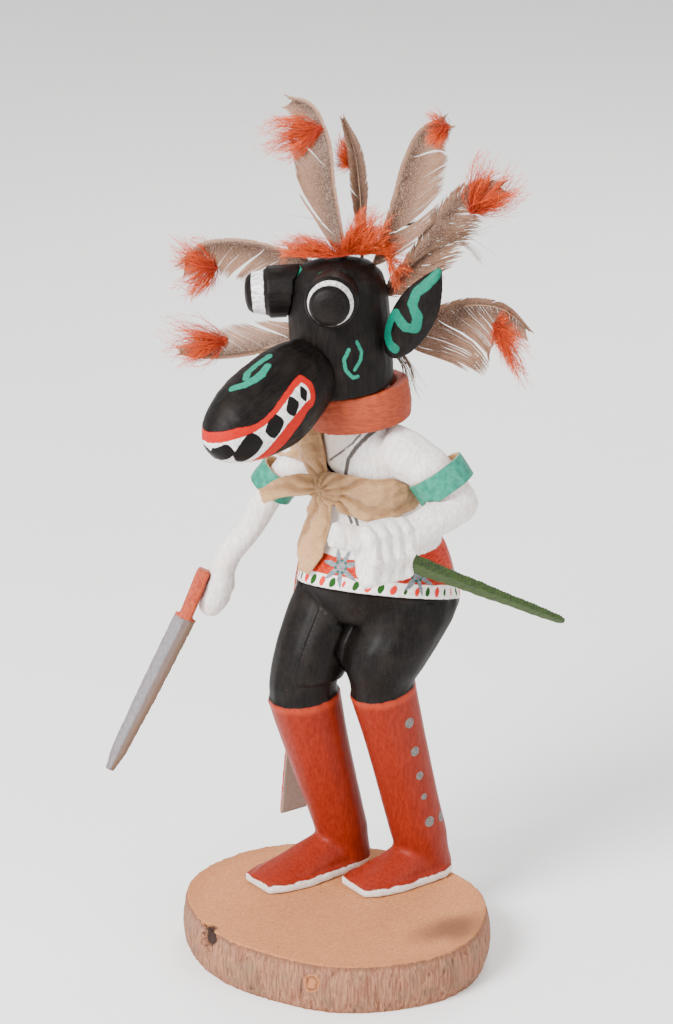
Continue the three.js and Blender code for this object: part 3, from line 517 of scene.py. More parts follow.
def chestPaint(look, place, tint):
    wobbly = look.wobbled(place, 0.8, 0.25)
    warm = look.inside(look.size((place - (-3, -11, 156)) * (1, 1, 0.7)) - 9, 5.0)
    tint = look.blend(warm * 0.55, tint, "#e9d8c6")
    lobe = look.stroke(wobbly, [(-7.5, -11.5, 166), (-1.5, -12.8, 163.5), (1.0, -12.5, 166.5)]) - 3.4
    tint = look.blend(look.inside(lobe), tint, "#c4633c")
    umber = "#4a3a31"
    thin = look.stroke(wobbly, [
        (10.6, -8.2, 162.6), (9.2, -10.3, 159.5), (5.5, -12.4, 155.7), (0.6, -13.2, 152)])
    tint = look.blend(look.inside(thin - 0.4, 0.25) * 0.85, tint, umber)
    thick = look.stroke(wobbly, [
        (12.4, -3.2, 163.8), (12, -6.6, 161.8), (10.6, -9.7, 158.4), (8.5, -11.4, 154.1),
        (7.3, -11.8, 147.9)])
    tint = look.blend(look.inside(thick - 0.75, 0.25) * 0.9, tint, umber)
    shade = look.stroke(wobbly, [
        (-6, -12.3, 154.4), (-2.8, -13, 150.8), (1.8, -13, 148), (6.9, -11.9, 146.9)])
    tint = look.blend(look.inside(shade - 0.8, 0.4), tint, "#3a2a22")
    below = look.least(look.stroke(wobbly, [(6.6, -11.1, 136.7), (8.7, -10.3, 132.1)]),
                       look.stroke(wobbly, [(9.3, -9.9, 135.4), (10.6, -9.1, 131.5)]) + 0.1)
    return look.blend(look.inside(below - 0.65, 0.2) * 0.9, tint, umber)


def carvedBody():
    v = figureValues
    piece = refined("carved_figure", "dancer_body", v["grain"], v["rounds"])
    softened(piece, v["softRounds"], figureSoftness)

    def toolDepth(spot, normal):
        x, y, z = spot - dancerSpot
        depth = 0.1 * rough((x, y, z * 0.5), 0.22, 2)  # long shallow knife cuts
        knee, hip = v["thighs"]
        if knee < z < hip and abs(x + 0.5) < v["thighGap"] and abs(normal.x) > 0.4:  # the thighs touch
            depth += v["thighPush"]
        if x > v["fist"][0] and y < v["fist"][1] and z < v["fistTop"]:  # knuckle grooves
            groove = max(0.0, math.cos((y + 22) * 2 * math.pi / v["knuckleStep"] + math.pi)) ** 3
            depth -= v["knuckleDepth"] * groove * max(0.0, normal.x)
        return depth

    carved(piece, toolDepth)
    look = Look("paintedCarving", dancerPlace)
    place = look.place
    wobbly = look.wobbled(place, 0.45, 0.35)
    x, y, z = look.parts(wobbly)
    tint, roughness, height = whiteCoat(look, place)
    tint = chestPaint(look, place, tint)
    onTrunk = look.inside(abs(x - v["trunkMiddle"]) - v["trunkHalf"], 0.2)
    trunk = kiltPaint(look, wobbly, tint)
    black, blackRoughness = blackCoat(look, place)[:2]
    scraped = look.smooth(look.noise(place * (0.5, 0.5, 1.4), 1.0, 3.0, 0.7), 0.63, 0.72)
    black = look.blend(scraped * 0.25, black, "#74604f")
    thigh = look.inside(z - hemAt(x, y), 0.15)
    trunk = look.blend(thigh, trunk, black)
    trunk = bootPaint(look, place, wobbly, trunk)
    tint = look.blend(onTrunk, tint, trunk)
    dark = thigh * onTrunk
    material = look.done(tint, roughness * (1 - dark) + blackRoughness * dark, height, 0.06, shine=0.13)
    settled(piece, material, "white_paint", "carved_figure")


# Head, snout, eyes, ears and collar

headValues = {"grain": 0.45, "rounds": 22, "browHeight": 38}


def headPiece():
    piece = refined("head", "mask_head", headValues["grain"], headValues["rounds"])
    carved(piece, lambda spot, normal: 0.08 * rough((spot.x, spot.y, spot.z * 0.35), 0.3, 2))
    look = Look("headPaint", headPlace)
    tint, roughness, height = blackCoat(look, look.place)
    x, y, z = look.parts(look.wobbled(look.place, 0.9, 0.2))
    mirrored = look.point(abs(x), y, z)
    teal = look.blend(look.noise(look.place, 1.2, 3.0), "#238573", "#46a592")
    front = look.stroke(mirrored, [
        (15.2, -6.5, 22.7), (15.7, -5.2, 19.3), (15.5, -5.7, 16.6), (14.6, -7.7, 13.6)])
    rear = look.stroke(mirrored, [
        (13.9, -9, 20.4), (12.8, -10.4, 17.2), (13, -10.1, 13.7), (14.3, -8.4, 11.1),
        (14.9, -6.9, 11.3)])
    brow = look.stroke(look.point(abs(x), y, 0), [(5.5, -11.5, 0), (8.4, -9.2, 0), (11.2, -6.6, 0)])
    drySpots = look.smooth(look.noise(look.place, 3.0, 3.0, 0.7), 0.3, 0.45)
    marks = look.inside(look.least(front - 0.55, rear - 0.6), 0.15) * drySpots
    tint = look.blend(marks, tint, teal)
    onBrow = look.inside(look.most(brow - 1.3, headValues["browHeight"] - z), 0.2)
    tint = look.blend(onBrow, tint, teal)
    material = look.done(tint, roughness, height, 0.1, shine=0.11)
    settled(piece, material, "black_paint", "head")


snoutValues = {
    "grain": 0.45, "rounds": 20,
    # each tooth: place on the left side, then its half sizes along, across and up
    "teeth": [((3.6, -49.4, -2.2), (2.6, 3.4, 3.6)), ((9.7, -42.6, -2.7), (5.0, 4.4, 5.3)),
              ((13.0, -33.3, 0.9), (4.0, 3.5, 3.9)), ((14.3, -25.2, 3.9), (4.0, 2.7, 3.1)),
              ((14.0, -19.4, 5.4), (4.0, 1.5, 2.6))],
    "toothLean": 0.25, "toothRoundness": 1.4,
    # the mouth's upper edge: its height at the tip, its rise and the stretch that it rises over
    "upperEdge": (2.1, 6.5, -41, -16.5),
    # its lower edge: its height at the corner, fall and bend, and how far forward the corner is
    "lowerEdge": (2.6, 0.15, 0.02, 19.5),
    "cornerHeight": 5.6, "gumEnd": 17.0, "lipEnd": 14.6,
}


def snoutPiece():
    v = snoutValues
    piece = refined("snout", "mask_snout", v["grain"], v["rounds"])
    carved(piece, lambda spot, normal: 0.1 * rough(spot, 0.25, 2))
    look = Look("snoutPaint", snoutPlace)
    place = look.place
    tint, roughness, height = blackCoat(look, look.point(*[look.parts(place)[i] for i in (0, 2, 1)]))
    wobbly = look.wobbled(place, 0.5, 0.3)
    x, y, z = look.parts(wobbly)
    side = look.point(abs(x), y, z)
    teal = look.blend(look.noise(place, 1.2, 3.0), "#238573", "#46a592")
    above = look.point(x, y, 0)
    shortCurl = look.stroke(above, [(1.0, -18.5, 0), (0.3, -23.8, 0), (0.6, -28, 0), (2.0, -30.3, 0)])
    longCurl = look.stroke(above, [
        (4.2, -22.6, 0), (5.2, -26.2, 0), (5, -29.4, 0), (3.6, -33, 0), (0.6, -35.6, 0)])
    curls = look.most(look.least(shortCurl, longCurl) - 1.25, 5 - z)
    tint = look.blend(look.inside(curls, 0.15), tint, teal)
    # the mouth: an upper and a lower edge along the side, closed by a rounded corner
    base, rise, ahead, corner = v["upperEdge"]
    upper = base + rise * look.smooth(y, ahead, corner)
    base, fall, bend, corner = v["lowerEdge"]
    depth = (y + corner) * -1
    ahead = look.most(depth, 0)
    lower = base - fall * depth - bend * ahead * ahead
    lowerLip = lower - 2.9 - 0.3 * ahead
    upperLip = upper + 2.0 + 1.3 * (1 - look.smooth(y, -46, -37))
    bulge = (z - v["cornerHeight"]) * (z - v["cornerHeight"])
    gum = look.most(z - upper, lower - z, y + v["gumEnd"] + 0.12 * look.least(bulge, 12))
    lips = look.most(z - upperLip, lowerLip - z, y + v["lipEnd"] + 0.09 * look.least(bulge, 36))
    red = look.blend(look.noise(place * (1, 0.4, 1), 1.2, 4.0, 0.6), "#ab291d", "#cf3d2c")
    tint = look.blend(look.inside(lips, 0.15), tint, red)
    chalk = look.tones(look.noise(place, 0.9, 4.0, 0.65), 0.35, 0.65, "#cdd0d2", "#eee9e4")
    tint = look.blend(look.inside(gum, 0.12), tint, chalk)
    bites = []
    for spot, (deep, wide, tall) in v["teeth"]:
        dx, dy, dz = look.parts((side - spot) * (1 / deep, 1 / wide, 1 / tall))
        slanted = look.maths("POWER", abs(dy + dz * -v["toothLean"]), v["toothRoundness"])
        upright = look.maths("POWER", abs(dz), v["toothRoundness"])
        bites.append(slanted + upright + look.most(abs(dx) - 1, 0) - 1)
    tint = look.blend(look.inside(look.least(*bites), 0.05) * look.inside(gum - 0.3, 0.15),
                      tint, "#231d1b")
    material = look.done(tint, roughness, height, 0.1, shine=0.11)
    settled(piece, material, "black_paint", "snout")


eyeValues = {"grain": 0.38, "rounds": 7, "bandStart": 23.4, "bandEnd": 27.35, "domeRadius": 6.5}


def eyePiece(side, node, name):
    v = eyeValues
    piece = refined(node, name, v["grain"], v["rounds"])
    look = Look(name + "Paint", eyePlace(side))
    place = look.place
    tint, roughness, height = blackCoat(look, place)
    x, y, z = look.parts(look.wobbled(place, 0.5, 0.25))
    across = look.size(look.point(x, y, 0))
    band = look.most(v["bandStart"] - z, z - v["bandEnd"], v["domeRadius"] - across)
    chalk = look.tones(look.noise(place * (1, 1, 0.3), 1.4, 4.0, 0.7), 0.35, 0.6, "#b9b6b8", "#f2efee")
    tint = look.blend(look.inside(band, 0.15), tint, chalk)
    material = look.done(tint, roughness, height, 0.08, shine=0.11)
    settled(piece, material, "black_paint", node)


earValues = {"grain": 0.34, "rounds": 9, "outTurn": 110, "lean": 34, "faceTurn": 42}


def earPiece(side, node, name):
    v = earValues
    piece = refined(node, name, v["grain"], v["rounds"])

    def level(turn):
        return Vector((side * math.sin(math.radians(turn)), -math.cos(math.radians(turn)), 0))

    lean = math.radians(v["lean"])
    axis = level(v["outTurn"]) * math.sin(lean) + Vector((0, 0, math.cos(lean)))
    face = level(v["faceTurn"])
    front = (headPlace.to_3x3() @ (face - axis * face.dot(axis))).normalized()
    shaded(piece, "front", lambda spot, normal: normal.dot(front))
    look = Look(name + "Paint", headPlace)
    place = look.place
    tint, roughness, height = blackCoat(look, place)
    x, y, z = look.parts(look.wobbled(place, 0.5, 0.35))
    mirrored = look.point(x * side, y, z)
    zigzag = look.stroke(mirrored, [
        (36.6, 11.6, 47.5), (35.7, 10.8, 43.5), (32.9, 8.9, 40.3), (29.9, 7, 37.8),
        (28.7, 6.2, 34.2), (29.7, 7.2, 29.6), (28.2, 7.2, 25.8), (25.8, 5.1, 26.6),
        (22.8, 4.3, 30.6), (20.6, 3.5, 29), (19, 3, 24.6), (19.6, 3.2, 21), (21.4, 3.8, 19)])
    teal = look.blend(look.noise(place, 1.3, 3.0), "#187564", "#329a87")
    tint = look.blend(look.inside(zigzag - 1.7, 0.15), tint, teal)
    red = look.blend(look.noise(place, 0.8, 3.0), "#b52f27", "#d9473a")
    tint = look.blend(look.inside(look.layer("front") + 0.35, 0.12), tint, red)
    material = look.done(tint, roughness, height, 0.08, shine=0.11)
    settled(piece, material, "black_paint", node)


collarValues = {"grain": 0.42, "rounds": 14, "check": (14, -9, -1.5)}


def collarPiece():
    piece = refined("collar", "neck_collar", collarValues["grain"], collarValues["rounds"])
    carved(piece, lambda spot, normal: 0.16 * rough((spot.x, spot.y, spot.z * 2), 0.25, 3))
    look = Look("collarPaint", headPlace)
    place = look.place
    drawn = look.noise(place * (0.35, 0.35, 1.8), 1.0, 5.0, 0.65)
    tint = look.tones(drawn, 0.2, 0.85, "#9a4b29", "#bf6a41")
    # a few dark checks in the wood where the paint has cracked
    checks = look.smooth(look.noise(place * (0.5, 0.5, 2.6), 1.0, 4.0, 0.7), 0.66, 0.7)
    nearFront = look.inside(look.size(place - collarValues["check"]) - 5, 3.0)
    tint = look.blend(checks * (0.25 + nearFront * 0.7), tint, "#4a2c20")
    material = look.done(tint, 0.6 + drawn * 0.2, drawn - checks, 0.12)
    settled(piece, material, "orange_paint", "collar")


# Knife and whip

handValues = {"knifeGrain": 0.3, "handleTop": (-43, -34.4, 105), "knifeAim": (-0.08, -0.4, -0.913),
              "gripLength": 18, "glue": (-40.5, -33.5, 92.5),
              "whipGrain": 0.3, "whipFoot": (33.2, -12, 128.6), "whipAim": (0.012, 0.88, -0.475),
              "toothStep": 1.55, "toothDepth": 0.42}


def knifePiece():
    v = handValues
    piece = refined("knife", "hand_knife", v["knifeGrain"], 3)
    aim = Vector(v["knifeAim"]).normalized()
    # how far each face turns to the right, away from the key light, for the blade's painted shade
    shaded(piece, "shadedFacet", lambda spot, normal: normal.x * 0.57 + normal.y * 0.82)
    carved(piece, lambda spot, normal: 0.06 * rough(spot, 0.5, 2))
    look = Look("knifePaint", dancerPlace)
    place = look.place
    down = look.dot(place - v["handleTop"], aim)
    drawn = look.noise(place * (1.6, 1.0, 0.35), 1.0, 5.0, 0.65)
    blade = look.tones(drawn, 0.25, 0.75, "#857f82", "#9a9597")
    # painted shade: the blade's facets turned to the right are darker and browner
    blade = look.blend(look.smooth(look.layer("shadedFacet"), 0.0, 0.35), blade, "#8b7566")
    grip = look.tones(drawn, 0.35, 0.7, "#a8522f", "#c8704a")
    tint = look.blend(look.inside(down - v["gripLength"], 0.25), blade, grip)
    glue = look.inside(look.size(place - v["glue"]) - 1.3, 0.3)
    tint = look.blend(glue, tint, "#d8c9b4")
    material = look.done(tint, 0.42 + drawn * 0.2, drawn, 0.08)
    settled(piece, material, "grey_paint", "knife")


def whipPiece():
    v = handValues
    piece = refined("yucca_whip", "toothed_whip", v["whipGrain"], 3)
    foot = Vector(v["whipFoot"]) + dancerSpot
    aim = Vector(v["whipAim"]).normalized()
    edge = (Vector((0, 0, 1)) - aim * aim.z).normalized()

    def toothDepth(spot, normal):
        run = (spot - foot).dot(aim)
        top = max(0.0, normal.dot(edge)) ** 2
        tooth = (run / v["toothStep"] + 0.3 * rough(spot, 0.4)) % 1.0
        return -v["toothDepth"] * top * tooth + 0.05 * rough(spot, 0.5)

    carved(piece, toothDepth)
    look = Look("whipPaint", dancerPlace)
    place = look.place
    drawn = look.noise(place * (1.4, 0.25, 1.4), 1.0, 5.0, 0.6)
    tint = look.tones(drawn, 0.3, 0.7, "#3f5522", "#5b722e")
    pale = look.smooth(look.noise(place, 0.9, 3.0, 0.6), 0.66, 0.74)
    tint = look.blend(pale * 0.12, tint, "#8a8c57")
    material = look.done(tint, 0.4 + drawn * 0.2, drawn, 0.08)
    settled(piece, material, "green_paint", "yucca_whip")


# Leather: armbands, side sash and chamois wrap

leatherValues = {"bandGrain": 0.3, "sashGrain": 0.36, "bandStep": 15,
                 "sashWave": 0.5, "sashCurl": 0.6, "curlStart": 70, "curlRun": 60,
                 "wrapGrain": 0.5, "knot": (2.5, -15.6, 143), "chest": (0, 1, 150),
                 "folds": 11, "foldDepth": 0.85, "foldReach": 11, "foldSpread": 12, "creaseDepth": 0.5}


def armbandPiece(node, name, upper, lower):
    # upper and lower are two points of the arm's middle line
    piece = refined(node, name, leatherValues["bandGrain"], 6)
    start = onDancer(*upper) / mm
    line = (onDancer(*lower) / mm - start).normalized()

    def outward(spot, normal):
        away = spot - start
        away -= line * away.dot(line)
        return normal.dot(away.normalized())

    shaded(piece, "outward", outward)
    carved(piece, lambda spot, normal: 0.12 * rough(spot, 0.35, 2))
    look = Look(name + "Leather", dancerPlace)
    place = look.place
    crackle = look.cells(look.wobbled(place, 1.0, 0.4), 1.5)
    patch = look.noise(place, 0.5, 4.0, 0.6)
    teal = look.tones(patch, 0.35, 0.65, "#2a8f7c", "#45a390")
    teal = look.blend(look.inside(crackle - 0.05, 0.05) * 0.1, teal, "#1f6f63")
    hide = look.blend(look.noise(place, 2.5, 4.0, 0.7), "#a9805c", "#d9bd97")
    tint = look.blend(look.smooth(look.layer("outward"), 0.3, 0.55), hide, teal)
    material = look.done(tint, 0.3 + patch * 0.25, crackle * 0.25 + patch, 0.08)
    settled(piece, material, "turquoise_leather", node)


def sashPiece():
    v = leatherValues
    piece = refined("side_sash", "side_sash_leather", v["sashGrain"], 8)
    for corner in piece.data.vertices:  # the strip waves a little and curls at its lower end
        x, y, z = ofDancer(corner.co)
        low = max(0.0, (v["curlStart"] - z) / v["curlRun"])
        corner.co.x += mm * (-v["sashWave"] * math.sin(z * 0.09) - v["sashCurl"] * low * low)
    shaded(piece, "outward", lambda spot, normal: -normal.x)
    look = Look("sashLeather", dancerPlace)
    place = look.place
    z = look.parts(look.wobbled(place, 0.6, 0.25))[2]
    nap = look.noise(place, 3.0, 4.0, 0.75)
    bare = look.tones(nap, 0.3, 0.7, "#a08f83", "#c9bbaf")
    drawn = look.noise(place * (1, 1, 0.3), 1.0, 4.0)
    red = look.tones(drawn, 0.3, 0.7, "#a83a26", "#c9553c")
    step = look.maths("FRACT", (z + 200) / v["bandStep"])
    green = look.inside(abs(step - 0.5) - 0.1, 0.02)
    white = look.inside(abs(abs(step - 0.5) - 0.16) - 0.04, 0.02)
    face = look.blend(green, red, "#3f6c35")
    face = look.blend(white, face, "#e6e0da")
    edges = look.inside(abs(look.layer("outward")) - 0.5, 0.1)
    tint = look.blend(look.smooth(look.layer("outward"), 0.2, 0.5), bare, face)
    tint = look.blend(edges, tint, "#b5483a")
    material = look.done(tint, 0.75 + nap * 0.15, nap, 0.12)
    settled(piece, material, "painted_leather", "side_sash")


def chamoisPiece():
    v = leatherValues
    piece = refined("chamois_wrap", "chamois_tie", v["wrapGrain"], 9)
    knot = Vector(v["knot"]) + dancerSpot
    middle = Vector(v["chest"]) + dancerSpot

    def foldDepth(spot, normal):
        away = spot - knot
        reach = away.length
        outward = Vector((spot.x - middle.x, spot.y - middle.y, 0)).normalized()
        facing = max(0.0, normal.dot(outward))
        spread = math.atan2(away.z, away.x + 0.001)
        folds = math.cos(spread * v["folds"] + 2.2 * rough(spot, 0.12))
        gather = math.exp(-((reach - v["foldReach"]) / v["foldSpread"]) ** 2)
        creases = rough((spot.x, spot.y, spot.z * 1.8), 0.2, 3)
        depth = v["foldDepth"] * gather * folds + v["creaseDepth"] * creases
        return facing * depth + 0.05 * rough(spot, 0.9)

    shaded(piece, "fold", foldDepth)
    carved(piece, foldDepth)
    look = Look("chamoisSuede", dancerPlace)
    place = look.place
    nap = look.noise(place, 3.2, 5.0, 0.8)
    patch = look.noise(place, 0.14, 3.0)
    tint = look.tones(nap, 0.3, 0.7, "#b8956f", "#d5b893")
    tint = look.blend(look.smooth(patch, 0.45, 0.72) * 0.6, tint, "#b08d6d")
    # darker patches that stand for painted shade in loose folds; the same noise also roughens the bump
    folded = look.noise(place * (0.4, 0.4, 0.9), 1.0, 4.0, 0.6)
    tint = look.blend(look.smooth(folded, 0.58, 0.72) * 0.35, tint, "#94714f")
    # painted shade in the valleys of the carved folds, read from the stored fold depth
    foldShade = 1 - look.smooth(look.layer("fold"), -0.6, 0.15)
    tint = look.blend(foldShade * 0.5, tint, "#93704f")
    knotShade = look.inside(look.size(place - v["knot"]) - 5, 4.0)
    tint = look.blend(knotShade * 0.3, tint, "#8c6b50")
    material = look.done(tint, 0.88, nap * 0.6 + folded, 0.22, fuzz=0.2)
    settled(piece, material, "chamois", "chamois_wrap")


# Feathers and down, drawn barb by barb

class Strands:
    def __init__(self):
        self.points = []
        self.faces = []
        self.shares = []

    def add(self, spots, widths, side, shares):
        # a thin three-sided blade through the spots, closed to a tip
        base = len(self.points)
        last = len(spots) - 1
        for i, spot in enumerate(spots[:last]):
            ahead = (spots[i + 1] - spots[max(i - 1, 0)]).normalized()
            across = (side - ahead * side.dot(ahead)).normalized()
            lift = ahead.cross(across) * widths[i] * 0.45
            across *= widths[i] / 2
            self.points += [spot - across, spot + across, spot + lift]
            self.shares += [shares[i]] * 3
        self.points.append(spots[last])
        self.shares.append(shares[last])
        self.faces.append((base, base + 1, base + 2))
        for i in range(last - 1):
            a = base + 3 * i
            for j in range(3):
                k = (j + 1) % 3
                self.faces.append((a + j, a + 3 + j, a + 3 + k, a + k))
        tip = base + 3 * last
        a = tip - 3
        for j in range(3):
            self.faces.append((a + j, tip, a + (j + 1) % 3))

    def piece(self, name):
        mesh = bpy.data.meshes.new(name)
        mesh.from_pydata([point * mm for point in self.points], [], self.faces)
        made = bpy.data.objects.new(name, mesh)
        bpy.context.scene.collection.objects.link(made)
        layer = mesh.attributes.new("reach", "FLOAT", "POINT")
        layer.data.foreach_set("value", self.shares)
        return made


fanTurn = math.radians(33)
fanAcross = Vector((math.cos(fanTurn), math.sin(fanTurn), 0))
fanBack = Vector((-fanAcross.y, fanAcross.x, 0))


def fanPoint(s, z, back):
    return dancerSpot + Vector((0, -2.4, z)) + fanAcross * s + fanBack * back


def curve(points, share):
    # a smooth line through the points
    place = min(max(share, 0.0), 1.0) * (len(points) - 1)
    i = min(int(place), len(points) - 2)
    t = place - i
    p1, p2 = points[i], points[i + 1]
    p0 = points[i - 1] if i > 0 else p1 * 2 - p2
    p3 = points[i + 2] if i + 2 < len(points) else p2 * 2 - p1
    return 0.5 * (2 * p1 + (p2 - p0) * t + (2 * p0 - 5 * p1 + 4 * p2 - p3) * t * t
                  + (3 * p1 - p0 - 3 * p2 + p3) * t ** 3)


# points: across the fan and up it; then the two web widths and the distance behind the fan
featherRows = [
    {"back": 0, "points": [(-2, 212), (-5.5, 226), (-8.6, 241), (-10.6, 256), (-16, 266.5), (-24, 269)],
     "outer": [0, 1.2, 1.6, 1.8, 1.8, 1], "inner": [0, 6, 12.5, 14, 12, 4], "start": 0.16,
     "splits": [0.42, 0.71], "loose": 0.05, "cup": 0.14},
    {"back": 5.5, "points": [(0, 212), (-0.5, 226), (-1.4, 240), (-3, 252), (-7, 263)],
     "outer": [0, 2, 4.5, 4, 1], "inner": [0, 2, 3.5, 3, 1], "turn": 62, "start": 0.2,
     "splits": [0.55, 0.8], "loose": 0.1, "cup": 0.1},
    {"back": 1, "points": [(3, 210), (8, 223), (13.4, 237), (17, 250), (22, 261), (30, 267)],
     "outer": [0, 6, 13.5, 13, 11, 4], "inner": [0, 1.2, 2.4, 2.4, 2, 1], "start": 0.22,
     "splits": [0.36, 0.5, 0.86], "loose": 0.06, "cup": 0.12},
    {"back": 3, "points": [(5, 202), (13, 211), (22, 221.5), (29.5, 234), (38, 243.5), (49, 246.5)],
     "outer": [0, 4, 8, 9, 8, 3], "inner": [0, 3.5, 5.5, 6, 5, 2], "start": 0.16,
     "splits": [0.3, 0.42, 0.55, 0.66, 0.8], "loose": 0.42, "cup": 0.3, "droop": 0.3},
    {"back": 5, "points": [(7, 189), (16, 195), (27, 201.5), (38, 205.4), (49, 205), (58, 198.5)],
     "outer": [0, 6, 18, 22, 17, 3], "inner": [0, 1.5, 3, 3, 2.5, 1], "start": 0.2,
     "splits": [0.34, 0.47, 0.6, 0.76], "loose": 0.1, "cup": 0.12, "droop": 0.12},
    {"back": 3, "points": [(-4, 208), (-15, 213.5), (-28, 217), (-42, 218.4), (-55, 216), (-64.5, 208)],
     "outer": [0, 1.2, 1.6, 1.8, 1.8, 1], "inner": [0, 4, 10, 13, 10, 4], "start": 0.2,
     "splits": [0.4, 0.52, 0.7], "loose": 0.12, "cup": 0.14, "droop": 0.1},
    {"back": 6, "points": [(-6, 196), (-18, 190), (-32, 183.5), (-46, 179.4), (-57, 177.6), (-66, 177.4)],
     "outer": [0, 3, 9, 10, 7, 2], "inner": [0, 1, 1.6, 1.8, 1.6, 1], "start": 0.2,
     "splits": [0.5, 0.78], "loose": 0.06, "cup": 0.12},
]

# loose barbs that have left their feather: distance behind the fan, then places across and up it
strayRows = {
    1: [(2, [(-7.4, 223.8), (-12.6, 228.9), (-17.9, 230.4), (-27.7, 231.7)])],
    4: [(3, [(11.5, 228.9), (18.9, 231), (26.3, 227.8), (33.6, 227.5), (40.1, 222.9), (43.7, 218.8)]),
        (4, [(11.5, 224.4), (17, 227.7), (24.5, 230.2), (35.4, 229.5), (45.3, 234.6)]),
        (2, [(10.6, 208.1), (15.3, 214), (20.8, 220), (28.2, 226.1), (35.4, 231.3), (44.4, 238.5)])],
    5: [(8, [(9.5, 186), (13.6, 181.6), (15.4, 174.4), (16.5, 169)]),
        (8, [(12, 187), (16.5, 179.6), (16.9, 173.5)])],
}

barbValues = {"step": 0.2, "width": 0.4, "tipWidth": 0.27, "lean": 1.25, "segments": 5,
              "quill": 0.72, "quillTip": 0.16, "quillSteps": 16, "slitWidth": 0.035, "slitDepth": 0.022,
              "strays": 16, "strayWidth": 0.3, "strayTip": 0.14, "straySteps": 9}


def featherLook():
    look = Look("featherBarbs", dancerPlace)
    place = look.place
    reach = look.layer("reach")
    streak = look.noise(place, 0.35, 4.0, 0.6)
    fine = look.noise(place, 2.2, 2.0)
    # darker at the quill, lighter towards the barb tips: partly the feather's own paler edges, partly
    # painted light where the thin vane lets the bright room show through
    tint = look.tones(reach, 0.0, 0.75, "#624635", "#a98a76")
    tint = look.blend(look.smooth(streak, 0.45, 0.7) * 0.5, tint, "#8f7462")
    tint = look.blend(look.smooth(fine, 0.4, 0.7) * 0.3, tint, "#cbb5a4")
    quill = look.inside(reach + 0.5, 0.1)
    tint = look.blend(quill, tint, "#a58a76")
    return look.done(tint, 0.6, fine, 0.02)


def feather(row, number, look):
    v = barbValues
    luck = random.Random(40 + number)
    turn = math.radians(row.get("turn", 0))
    droop = row.get("droop", 0)
    points = [fanPoint(s, z, row["back"]) for s, z in row["points"]]
    strands = Strands()
    length = sum((curve(points, (i + 1) / 60) - curve(points, i / 60)).length for i in range(60))

    def tangentAt(share):
        return (curve(points, share + 0.01) - curve(points, share - 0.01)).normalized()

    def normalAt(tangent):
        return Matrix.Rotation(turn, 3, tangent) @ fanBack

    shares = [i / v["quillSteps"] for i in range(v["quillSteps"] + 1)]
    widths = [2 * mixed(v["quill"], v["quillTip"], share ** 0.8) for share in shares]
    strands.add([curve(points, share) for share in shares], widths, fanAcross + Vector((0, 0, 0.3)),
                [-1.0] * len(shares))
    shares = [k / v["segments"] for k in range(v["segments"] + 1)]
    barbWidths = [mixed(v["width"], v["tipWidth"], q ** 1.5) for q in shares]
    for sign, rowWidths in ((-1, row["outer"]), (1, row["inner"])):
        count = int(length * (1.02 - row["start"]) / v["step"])
        splits = [share + luck.uniform(-0.03, 0.03) for share in row["splits"]]
        for i in range(count):
            end = mixed(row["start"], 1.03, (i + luck.uniform(-0.2, 0.2)) / count)
            width = max(along(rowWidths, end), 0.9)
            advance = width * v["lean"] / length
            width *= 1 + luck.uniform(-0.5, 0.25) * row["loose"]
            root = min(max(end - advance, 0.1), 0.985)
            opening = 0.0
            for split in splits:
                gap = end - split
                push = math.copysign(1, gap) * math.exp(-abs(gap) / v["slitWidth"])
                opening += push * v["slitDepth"] * min(width / 8, 1.4)
            end += opening + luck.gauss(0, 0.02) * row["loose"]
            curl = luck.gauss(row["cup"], 0.25 * row["loose"])
            sink = droop * luck.uniform(0.9, 1.1)
            barb = []
            for q in shares:
                share = mixed(root, end, q ** 1.25)
                tangent = tangentAt(min(share, 0.98))
                normal = normalAt(tangent)
                flat = tangent.cross(normal).normalized()
                spot = curve(points, share) + tangent * max(share - 1.0, 0.0) * length
                spot = spot + flat * sign * width * q ** 0.92
                spot = spot + normal * (curl * width * q * q) + Vector((0, 0, -sink * width * q * q))
                barb.append(spot)
            middle = tangentAt(root)
            strands.add(barb, barbWidths, middle + normalAt(middle) * 0.4, shares)
    shares = [k / v["straySteps"] for k in range(v["straySteps"] + 1)]
    widths = [mixed(v["strayWidth"], v["strayTip"], q) for q in shares]
    for back, path in strayRows.get(number, []):
        line = [fanPoint(s, z, back) for s, z in path]
        for _ in range(1 if number == 1 else v["strays"]):
            drift = Vector([luck.gauss(0, 1) for _ in range(3)])
            spread = luck.uniform(0.75, 1.0)
            barb = [curve(line, spread * q) + drift * (0.25 + 1.5 * q ** 2) for q in shares]
            strands.add(barb, widths, fanBack, [0.1 + 0.3 * q for q in shares])
    piece = strands.piece(f"crown_feather_{number}")
    settled(piece, look, "feather_web", f"feather_{number}")


# each tuft: its root in the fan, the points its wisps reach for, and how far behind the fan it hangs
tuftRows = [
    {"back": 0, "root": (-12, 260.3),
     "ends": [(-28.3, 262.2), (-36.9, 259.1), (-39.5, 250.6), (-32.8, 247.9), (-23, 247.1)]},
    {"back": 5.5, "root": (-3.3, 248), "plumes": 30,
     "ends": [(-7.9, 259.5), (-9.3, 255.4), (-10, 250.4), (-4.8, 246)]},
    {"back": 1, "root": (30.4, 264.3), "plumes": 34,
     "ends": [(22.8, 271.3), (22.6, 261), (23.6, 257.2), (28.1, 256.6)]},
    {"back": 3, "root": (38.2, 237),
     "ends": [(40.1, 257.3), (47.5, 260.5), (54.3, 253.7), (61, 249.5), (59.4, 241.2)]},
    {"back": 5, "root": (46, 200),
     "ends": [(50, 204.2), (60.4, 193), (58.4, 175.3), (53.1, 183.8), (48, 193)]},
    {"back": 3, "root": (-51.2, 209),
     "ends": [(-60.1, 221.7), (-69.1, 220.1), (-68.2, 211.7), (-69.5, 202.3), (-63.4, 195), (-55, 197.6)]},
    {"back": 6, "root": (-48.9, 183.7),
     "ends": [(-63.8, 183.7), (-76.5, 189.3), (-74.9, 179), (-71.3, 170), (-62.1, 173.5)]},
]

